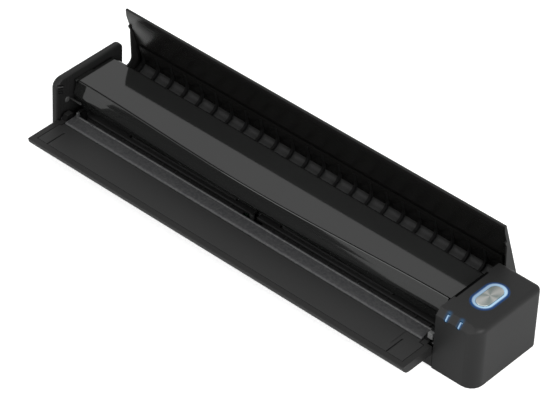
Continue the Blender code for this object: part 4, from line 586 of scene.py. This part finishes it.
panel_xs = np.concatenate([(panel_low[0], NOTCH_END),
                           np.linspace(NOTCH_END, panel_high[0], PANEL_STATIONS)])
top = panel_high[2]
under = top - PANEL_THICK
seam = SEAM_Y + SEAM_GROOVE / 2
rear = panel_high[1]
inside = rear - PANEL_THICK
panel_loop = np.array([(seam, top), (seam, under), (inside, under), (inside, panel_low[2]),
                       (rear, panel_low[2]), (rear, top)])
panel_corners = np.repeat(panel_loop[None], len(panel_xs), 0)
panel_corners[:, :2, 0] += lead(panel_xs)[:, None]
panel_rings = filleted(panel_corners, PANEL_RADII)
points_each = panel_rings.shape[1] // len(PANEL_RADII)
panel_rings = np.insert(panel_rings, 2 * points_each, (NOTCH_FRONT, under), 1)
panel_rings = np.insert(panel_rings, panel_rings.shape[1], (NOTCH_FRONT, top), 1)
in_notch = panel_rings[:2, :, 0] > NOTCH_FRONT
panel_rings[:2, :, 1] = np.where(in_notch, np.maximum(panel_rings[:2, :, 1], under),
                                 panel_rings[:2, :, 1])
panel_rings[:2, :, 0] = np.minimum(panel_rings[:2, :, 0], NOTCH_FRONT)
dressed(lofted("cover_panel", along_x(panel_xs, panel_rings)), "top_cover", gloss, "top_panel")

# The left end of the panel has a small square ear, moulded on, that closes the corner to the
# cheek.
EAR_BOX = ((-132.3 * MM, -9.1 * MM, 31.2 * MM), (-130.6 * MM, -7.5 * MM, 32.4 * MM))
dressed(cuboids("panel_ear", [EAR_BOX]), "top_cover", gloss, ease=0.15 * MM)


# Fascia: the polished front of the lid, a glossy moulding carried by the frame inside it. A
# thin lip meets the panel at the seam, the middle stands proud and leans out above the slot,
# and the foot is drawn back, where the bow has faded out.
FASCIA_THICK = 1.6 * MM
FASCIA_LIP = 2.1 * MM
FASCIA_DROPS = ((-0.4 * MM, -0.4 * MM), (-1.1 * MM, -4.1 * MM), (-2.05 * MM, -8.4 * MM),
                (-0.7 * MM, -12.6 * MM))
FASCIA_FOOT = -9.9 * MM + LOOK_CENTRE.y
FASCIA_RADII = (0.1 * MM, 0.2 * MM, 6 * MM, 4 * MM, 5 * MM, 0.3 * MM,
                0.3 * MM, 4 * MM, 3 * MM, 3 * MM, 0.5 * MM)
FASCIA_REACH = 2.1 * MM
FASCIA_SWELL = 0.9
FOOT_SHARE = 0.5

fascia_low, fascia_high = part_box("front_fascia")
lip = np.array((SEAM_Y - SEAM_GROOVE / 2, top))
outer = [lip, *(lip + np.array(step) for step in FASCIA_DROPS),
         np.array((FASCIA_FOOT, fascia_low[2]))]
inner = [point + np.array((FASCIA_THICK, 0)) for point in outer[:1:-1]]
fascia_loop = filleted(np.array([*outer, *inner, lip - np.array((0, FASCIA_LIP))]),
                       FASCIA_RADII)
fascia_xs = np.linspace(fascia_low[0] - FASCIA_REACH, fascia_high[0], PANEL_STATIONS)
# A point takes a share of the seam's bow by its level, which goes from 0 at the foot to 1 at
# the top: a quarter sine swollen half way up, but never more than an even rise from
# FOOT_SHARE to 1.
level = np.clip((fascia_loop[:, 1] - fascia_low[2]) / (top - fascia_low[2]), 0, 1)
share = np.minimum(np.sin(level * np.pi / 2) * (1 + FASCIA_SWELL * level * (1 - level)),
                   FOOT_SHARE + (1 - FOOT_SHARE) * level)
fascia_rings = np.repeat(fascia_loop[None], PANEL_STATIONS, 0)
fascia_rings[..., 0] += lead(fascia_xs)[:, None] * share[None]
fascia_mesh = lofted("cover_fascia", along_x(fascia_xs, fascia_rings))
dressed(fascia_mesh, "top_cover", gloss, "front_fascia")


# Feeding guide: a satin outer door and the plate set into it, swung down flat on its arms,
# whose flat sides are painted near-black and dull as shade. The right arm carries a small lug
# painted pale as the highlight of its lit top, and a shallow mould line, painted near-black as
# the shade in it, crosses the plate beside it.
MOULD_LINE = (95.7 * MM, 0.45 * MM, -32.6 * MM)
MOULD_DEPTH = 0.2 * MM
ARM_START = -21.0 * MM
ARM_SIDE = 0.9
ARM_FRONT = -0.6
ARM_LUG = ((107.1 * MM, -20.1 * MM, 16.0 * MM), (110.1 * MM, -17.8 * MM, 19.3 * MM))

arm_side_shade = moulded("arm_side_shade", grey(0.002), grey(0.005), rough=0.5, slot="satin_black",
                    Specular_IOR_Level=0.05)
plate_black = Finish("plate_black", "satin_black", Specular_IOR_Level=0.25)
grain = plate_black.noise(0.4 * MM, detail=3.0)
sweep = plate_black.noise(50 * MM)
spot = plate_black.split()
# The mould line is painted near-black, as shade in its shallow groove.
away = (spot[0] - MOULD_LINE[0]).math("ABSOLUTE")
line = (1.0 - away / MOULD_LINE[1]).clipped() * spot[1].above(MOULD_LINE[2])
plain = plate_black.mix(sweep, grey(0.014), grey(0.018))
plate_black.feed("Base Color", plate_black.mix(line, plain, grey(0.002)))
plate_black.feed("Roughness", 0.42 + 0.14 * grain)
plate_black.bump(0.1 * grain - line, MOULD_DEPTH, strength=0.5)
# The arms' sides that face right and front take the painted shade.
door = merged("feeding_guide_outer")
for face in door.faces:
    on_arm = face.calc_center_median().y > ARM_START
    flat_side = face.normal.x > ARM_SIDE or face.normal.y < ARM_FRONT
    face.material_index = int(on_arm and flat_side)
dressed(skin(door, "feeding_guide_outer"), "feeding_guide", satin, "feeding_guide_outer",
        ease=EASE, others=(arm_side_shade,))
# The lug's pale grey is a painted highlight of the arm's lit top facet.
lug_highlight_grey = moulded("lug_highlight_grey", grey(0.11), grey(0.15), rough=0.45, slot="satin_black",
                   Specular_IOR_Level=0.3)
dressed(cuboids("arm_lug", [ARM_LUG]), "feeding_guide", lug_highlight_grey, ease=0.3 * MM)
eased("feeding_guide_plate", "feeding_guide", plate_black, ease=0.15 * MM)


# Output guide: the outer cover that folds over the top and back, a moulding that is satin
# outside and smooth inside, its inside painted darker as shade, and the inner guide fixed to
# its foot. That one is a second moulding, a row of bays whose floors are painted paler as the
# light on them, between thin fins painted dark and dull as their shade; the sheet's top edge
# is painted matte near-black, without its highlight.
INNER_SIDE = Vector((0, -0.949, -0.316))
INNER_FACING = 0.97
TIP_SIDE = Vector((0, -0.316, 0.949))
TIP_FACING = 0.9
TIP_LEVEL = 31 * MM
PAD_LEVEL = 20.3 * MM
FIN_WIDTH = 1.6 * MM
PAD, TIP, FIN = 1, 2, 3

# The smooth inside is painted darker than the satin outside, as the shade inside the guide.
inner_black = Finish("inner_black", Specular_IOR_Level=0.5)
grain = inner_black.noise(0.5 * MM, detail=3.0)
sweep = inner_black.noise(25 * MM, detail=3.0)
inner_black.feed("Base Color", inner_black.mix(sweep, grey(0.005, (0.0004, 0.0003, 0)),
                                               grey(0.008, (0.0006, 0.0004, 0))))
inner_black.feed("Roughness", 0.22 + 0.05 * grain)
inner_black.bump(grain, depth=0.01 * MM, strength=0.05)

guide = merged("output_guide_outer")
for face in guide.faces:
    face.material_index = int(face.normal.dot(INNER_SIDE) > INNER_FACING)
dressed(skin(guide, "output_guide_outer"), "output_guide", satin, "output_guide_outer",
        ease=EASE, others=(inner_black,))

# A matte near-black without highlight: painted shade on the sheet's top edge and the lid strip,
# and the black of the sheet stop.
matte_black_and_shade = Finish("matte_black_and_shade", "inner_black", Base_Color=grey(0.003), Roughness=0.9,
                    Specular_IOR_Level=0.0)
# Painted shade: the fins are darker and duller than the bays.
fin_painted_shade = moulded("fin_painted_shade", grey(0.005), grey(0.008), rough=0.5, slot="inner_black",
                    Specular_IOR_Level=0.1)
# Painted light: the bays' floors low down are paler, as the light falling on them.
painted_light_pad = moulded("painted_light_pad", grey(0.020), grey(0.031), rough=0.42, slot="inner_black",
                    Specular_IOR_Level=0.3)
bays = merged("output_guide_inner")
for face in bays.faces:
    middle = face.calc_center_median()
    spread = [corner.co.x for corner in face.verts]
    on_fin = max(spread) - min(spread) < FIN_WIDTH
    at_tip = face.normal.dot(TIP_SIDE) > TIP_FACING and middle.z > TIP_LEVEL
    face.material_index = FIN if on_fin else TIP if at_tip else PAD * (middle.z < PAD_LEVEL)
dressed(skin(bays, "output_guide_inner"), "output_guide", inner_black, "output_guide_inner",
        others=(painted_light_pad, matte_black_and_shade, fin_painted_shade))


# Lid strip: a thin strip along the block's top edge beside the end of the lid, painted matte
# near-black as the shade of the gap there.
LID_STRIP = ((111.62 * MM, -8.0 * MM, 36.2 * MM), (112.75 * MM, 16.0 * MM, 36.55 * MM))
dressed(cuboids("lid_strip", [LID_STRIP]), "scanner_body", matte_black_and_shade)


# Lower guide, which lies in the case under the feed path, and the upper frame, which carries
# what is inside the lid: plain black mouldings with a low gloss.
path_black = moulded("path_black", grey(0.010), grey(0.016), rough=0.35, slot="inner_black",
                     Specular_IOR_Level=0.15)
eased("upper_frame", "top_cover", path_black)
eased("lower_guide", "scanner_body", path_black, ease=0.1 * MM)


# Entry ramp: the paler plate, screwed to the case, that leads from the open door into the
# slot, rolled over at the front and with a bead along its rear edge. Behind it lies the dark
# bed of the slot, with a row of small ribs and the well that the sensor's arm turns in.
RAMP_REAR = -12.6 * MM
RAMP_THICK = 1.8 * MM
RAMP_LIP = 1.6 * MM
RAMP_LIP_DROP = 1 * MM
RAMP_RADII = (1.1 * MM, 0.2 * MM, 0.2 * MM, 0.3 * MM, 0.3 * MM, 0.3 * MM, 0.25 * MM, 0.2 * MM)
BEAD_TOP = 0.7 * MM
BEAD_FOOT = 1.1 * MM
BEAD_HEIGHT = 0.45 * MM
BED_TOP = 13.4 * MM
BED_THICK = 1.2 * MM
BED_SPAN = (-12.2 * MM, -9.6 * MM)
RIB_COUNT = 26
RIB_THICK = 0.9 * MM
RIB_MARGIN = 3 * MM
RIB_SPAN = (-12.1 * MM, -9.8 * MM)
RIB_FOOT = 13.1 * MM
RIB_TOP = 14.1 * MM
FLAG_GAP = (-16.8 * MM, -4.2 * MM)
FLAG_MARGIN = 1 * MM
WELL_FLOOR = 7.2 * MM
WELL_TOP = 12.6 * MM
WELL_FRONT = -12.7 * MM
WELL_REAR = -1.5 * MM
WELL_WALL = 0.5 * MM

ramp_low, ramp_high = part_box("entry_ramp")
ramp_grey = Finish("ramp_grey", Specular_IOR_Level=0.4)
grain = ramp_grey.noise(0.3 * MM, detail=3.0)
mottle = ramp_grey.noise(1.3 * MM, detail=4.0)
shade = (0.35 * grain + 2.6 * (mottle - 0.5) + 0.36).clipped()
ramp_grey.feed("Base Color", ramp_grey.mix(shade, grey(0.022, (0, 0, 0.003)), grey(0.052)))
ramp_grey.feed("Roughness", 0.40 + 0.14 * grain)
ramp_grey.bump(grain, depth=0.03 * MM, strength=0.5)
ramp_top = ramp_high[2]
ramp_under = ramp_top - RAMP_THICK
ramp_loop = [(ramp_low[1], ramp_top), (ramp_low[1], ramp_under - RAMP_LIP_DROP),
             (ramp_low[1] + RAMP_LIP, ramp_under - RAMP_LIP_DROP),
             (ramp_low[1] + RAMP_LIP, ramp_under), (RAMP_REAR, ramp_under),
             (RAMP_REAR, ramp_top + BEAD_HEIGHT), (RAMP_REAR - BEAD_TOP, ramp_top + BEAD_HEIGHT),
             (RAMP_REAR - BEAD_FOOT, ramp_top)]
ramp = lofted("paper_ramp", along_x((ramp_low[0], ramp_high[0]), filleted(ramp_loop, RAMP_RADII)))
dressed(ramp, "scanner_body", ramp_grey, "entry_ramp", ease=0.15 * MM)

rib_xs = np.linspace(ramp_low[0] + RIB_MARGIN, ramp_high[0] - RIB_MARGIN, RIB_COUNT)
clear_xs = rib_xs[(rib_xs < FLAG_GAP[0] - FLAG_MARGIN) | (rib_xs > FLAG_GAP[1] + FLAG_MARGIN)]
bed_spans = [((x0, BED_SPAN[0], BED_TOP - BED_THICK), (x1, BED_SPAN[1], BED_TOP))
             for x0, x1 in ((ramp_low[0], FLAG_GAP[0]), (FLAG_GAP[1], ramp_high[0]))]
rib_spans = [((x - RIB_THICK / 2, RIB_SPAN[0], RIB_FOOT),
              (x + RIB_THICK / 2, RIB_SPAN[1], RIB_TOP)) for x in clear_xs]
well_spans = [((FLAG_GAP[0] - WELL_WALL, WELL_FRONT, WELL_FLOOR - WELL_WALL),
               (FLAG_GAP[1] + WELL_WALL, WELL_REAR, WELL_FLOOR)),
              ((FLAG_GAP[0] - WELL_WALL, WELL_FRONT, WELL_FLOOR),
               (FLAG_GAP[1] + WELL_WALL, WELL_FRONT + WELL_WALL, WELL_TOP))]
dressed(cuboids("slot_bed", bed_spans + rib_spans + well_spans), "scanner_body", path_black,
        ease=0.15 * MM)


# Left end of the slot: a small black stop and two lugs stand on the ramp's rear edge, and a
# short black rod runs out from the cheek.
STOP_BLOCK = ((-124.2 * MM, -12.9 * MM, 12.4 * MM), (-121.6 * MM, -10.3 * MM, 18.6 * MM))
RAMP_LUGS = (((-117.2 * MM, -14.2 * MM, 13.5 * MM), (-115.0 * MM, -12.7 * MM, 15.2 * MM)),
             ((-126.0 * MM, -14.4 * MM, 13.2 * MM), (-124.9 * MM, -12.7 * MM, 17.6 * MM)))
ROD_XS = (-132.8 * MM, -132.6 * MM, -125.2 * MM, -124.8 * MM)
ROD_RADII = (0.3 * MM, 0.5 * MM, 0.5 * MM, 0.3 * MM)
ROD_PLACE = (-11.7 * MM, 21.9 * MM)

rod_black = moulded("rod_black", grey(0.015), grey(0.022), rough=0.45, slot="satin_black",
                    Specular_IOR_Level=0.25)
dressed(cuboids("sheet_stop", [STOP_BLOCK]), "scanner_body", matte_black_and_shade, ease=0.6 * MM)
dressed(cuboids("ramp_lug", RAMP_LUGS), "scanner_body", ramp_grey, ease=0.3 * MM)
dressed(spun("cheek_rod", ROD_XS, ROD_RADII, ROD_PLACE), "scanner_body", rod_black)


# Scan button: a spun silver cap in a translucent ring that is lit blue from below, brighter
# on the side of its lamp. The two status lights are slits of the same light guide.
LAMP_SIDE = 118.5 * MM
LAMP_REACH = 10 * MM
RING_FAR_BLUE = (0.24, 0.37, 0.52, 1)
RING_LAMP_BLUE = (0.40, 0.63, 0.83, 1)
RIM_WIDTH = 0.5 * MM
RIM_SHIFT = 1.3
RIM_BLUE = (0.0, 0.05, 0.19, 1)
SLIT_CORE = 0.4 * MM
SLIT_BLUE = (0.33, 0.58, 0.80, 1)
SLIT_EDGE_BLUE = (0.01, 0.07, 0.20, 1)
SLIT_PROUD = 0.08 * MM
PAINTED_SHEEN_FANS = 4.0
PAINTED_SHEEN_TURN = 0.8
PAINTED_SHEEN_DARK = (0.19, 0.23, 0.22, 1)
PAINTED_SHEEN_BRIGHT = (0.50, 0.50, 0.48, 1)

ring_light = Finish("ring_light", "light_blue", Base_Color=grey(0.05), Roughness=0.3,
                    Specular_IOR_Level=0.3, Emission_Strength=1.0)
lamp_side = ((ring_light.split()[0] - LAMP_SIDE) / LAMP_REACH).clipped()
body_blue = ring_light.mix(lamp_side, RING_FAR_BLUE, RING_LAMP_BLUE)
rim = (beyond(ring_light, RING_SPINE) / RIM_WIDTH + RIM_SHIFT).clipped()
ring_light.feed("Emission Color", ring_light.mix(rim, body_blue, RIM_BLUE))
eased("button_light_ring", "scanner_body", ring_light, ease=0.1 * MM)

slit_light = Finish("slit_light", "light_blue", Base_Color=grey(0.05), Roughness=0.3,
                    Specular_IOR_Level=0.3, Emission_Strength=1.0)
spot = slit_light.split()
cores = [(1.0 - (spot[0] - x).math("ABSOLUTE") / SLIT_CORE).clipped() for x in SLIT_XS]
slit_light.feed("Emission Color", slit_light.mix(cores[0] + cores[1], SLIT_EDGE_BLUE, SLIT_BLUE))
for node in ("status_light_left", "status_light_right"):
    dressed(banded(node, proud=SLIT_PROUD), "scanner_body", slit_light, node)

# The spun cap's base colour is painted light and dark in fans round its middle, a painted
# highlight standing for the shine of its brush marks.
silver = Finish("brushed_silver", Metallic=1.0)
lines = silver.noise(0.5 * MM)
spot = silver.split()
round_cap = (spot[1] - RING_SPINE[1]).math("ARCTAN2", spot[0] - RING_SPINE[0])
painted_fan = (round_cap * PAINTED_SHEEN_FANS + PAINTED_SHEEN_TURN).math("COSINE")
painted_sheen = (0.5 + 0.32 * painted_fan + 0.3 * (lines - 0.5)).clipped()
silver.feed("Base Color", silver.mix(painted_sheen, PAINTED_SHEEN_DARK, PAINTED_SHEEN_BRIGHT))
silver.feed("Roughness", 0.26 + 0.1 * lines)
silver.bump(lines, depth=0.01 * MM, strength=0.4)
eased("scan_button", "scan_button", silver, ease=0.15 * MM)


# What is inside or at the back: shafts and pins of dark steel, bright screws, spring, socket
# and motor, rubber rollers and feet, nylon gears, a brass pinion, boards, battery and sensor.
# Their shapes are plain turned or stamped parts, so they only take their finishes.
rubber = moulded("rubber", grey(0.008), grey(0.016), rough=0.62, grain_size=0.6 * MM,
                 relief=0.04 * MM, Specular_IOR_Level=0.25)
steel = moulded("steel", grey(0.5), grey(0.6), rough=0.22, grain_size=0.3 * MM,
                relief=0.005 * MM, Metallic=1.0)
dark_steel = moulded("dark_steel", grey(0.06), grey(0.09), rough=0.3, grain_size=0.3 * MM,
                     relief=0.005 * MM, slot="steel", Metallic=1.0)
brass = moulded("brass", (0.55, 0.36, 0.12, 1), (0.66, 0.46, 0.18, 1), rough=0.25,
                grain_size=0.3 * MM, relief=0.005 * MM, Metallic=1.0)
nylon = moulded("nylon", (0.62, 0.60, 0.54, 1), (0.70, 0.68, 0.62, 1), rough=0.4)
glass = moulded("glass", (0.55, 0.66, 0.66, 1), (0.60, 0.70, 0.70, 1), rough=0.02,
                grain_size=5 * MM, relief=0.001 * MM, Alpha=0.35, IOR=1.5)
board_green = moulded("board_green", (0.012, 0.07, 0.03, 1), (0.02, 0.11, 0.05, 1), rough=0.35,
                      grain_size=2 * MM, relief=0.03 * MM)
cell_blue = moulded("cell_blue", (0.03, 0.08, 0.22, 1), (0.05, 0.11, 0.28, 1), rough=0.3,
                    grain_size=6 * MM, relief=0.1 * MM)
white = moulded("white", grey(0.72), grey(0.78), rough=0.5)
FITTED = (
    (rubber, ("feed_roller_left", "feed_roller_right", "eject_roller_left",
              "eject_roller_right", "foot_front_left", "foot_front_right", "foot_rear_left",
              "foot_rear_right")),
    (dark_steel, ("feed_shaft", "eject_shaft", "cover_hinge_pin_left",
                  "cover_hinge_pin_right", "feeding_hinge_pin_left",
                  "feeding_hinge_pin_right", "output_hinge_pin_left",
                  "output_hinge_pin_right")),
    (steel, ("block_screw_front", "block_screw_rear", "ramp_screw_left",
             "ramp_screw_right", "sensor_spring", "usb_socket", "drive_motor")),
    (brass, ("motor_pinion",)),
    (nylon, ("feed_gear", "eject_gear", "idler_gear", "gear_frame")),
    (path_black, ("shaft_bearing_left", "shaft_bearing_right",
                  "feed_pinch_roller", "eject_pinch_roller", "image_sensor_bar",
                  "paper_sensor_flag")),
    (glass, ("sensor_glass",)),
    (board_green, ("main_board", "button_board", "connector_board")),
    (cell_blue, ("battery_pack",)),
    (white, ("white_backing_strip",)),
    (satin, ("setup_button", "wireless_switch")),
)
for finish, names in FITTED:
    for name in names:
        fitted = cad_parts[name]
        fitted.data.materials.clear()
        fitted.data.materials.append(finish.material)
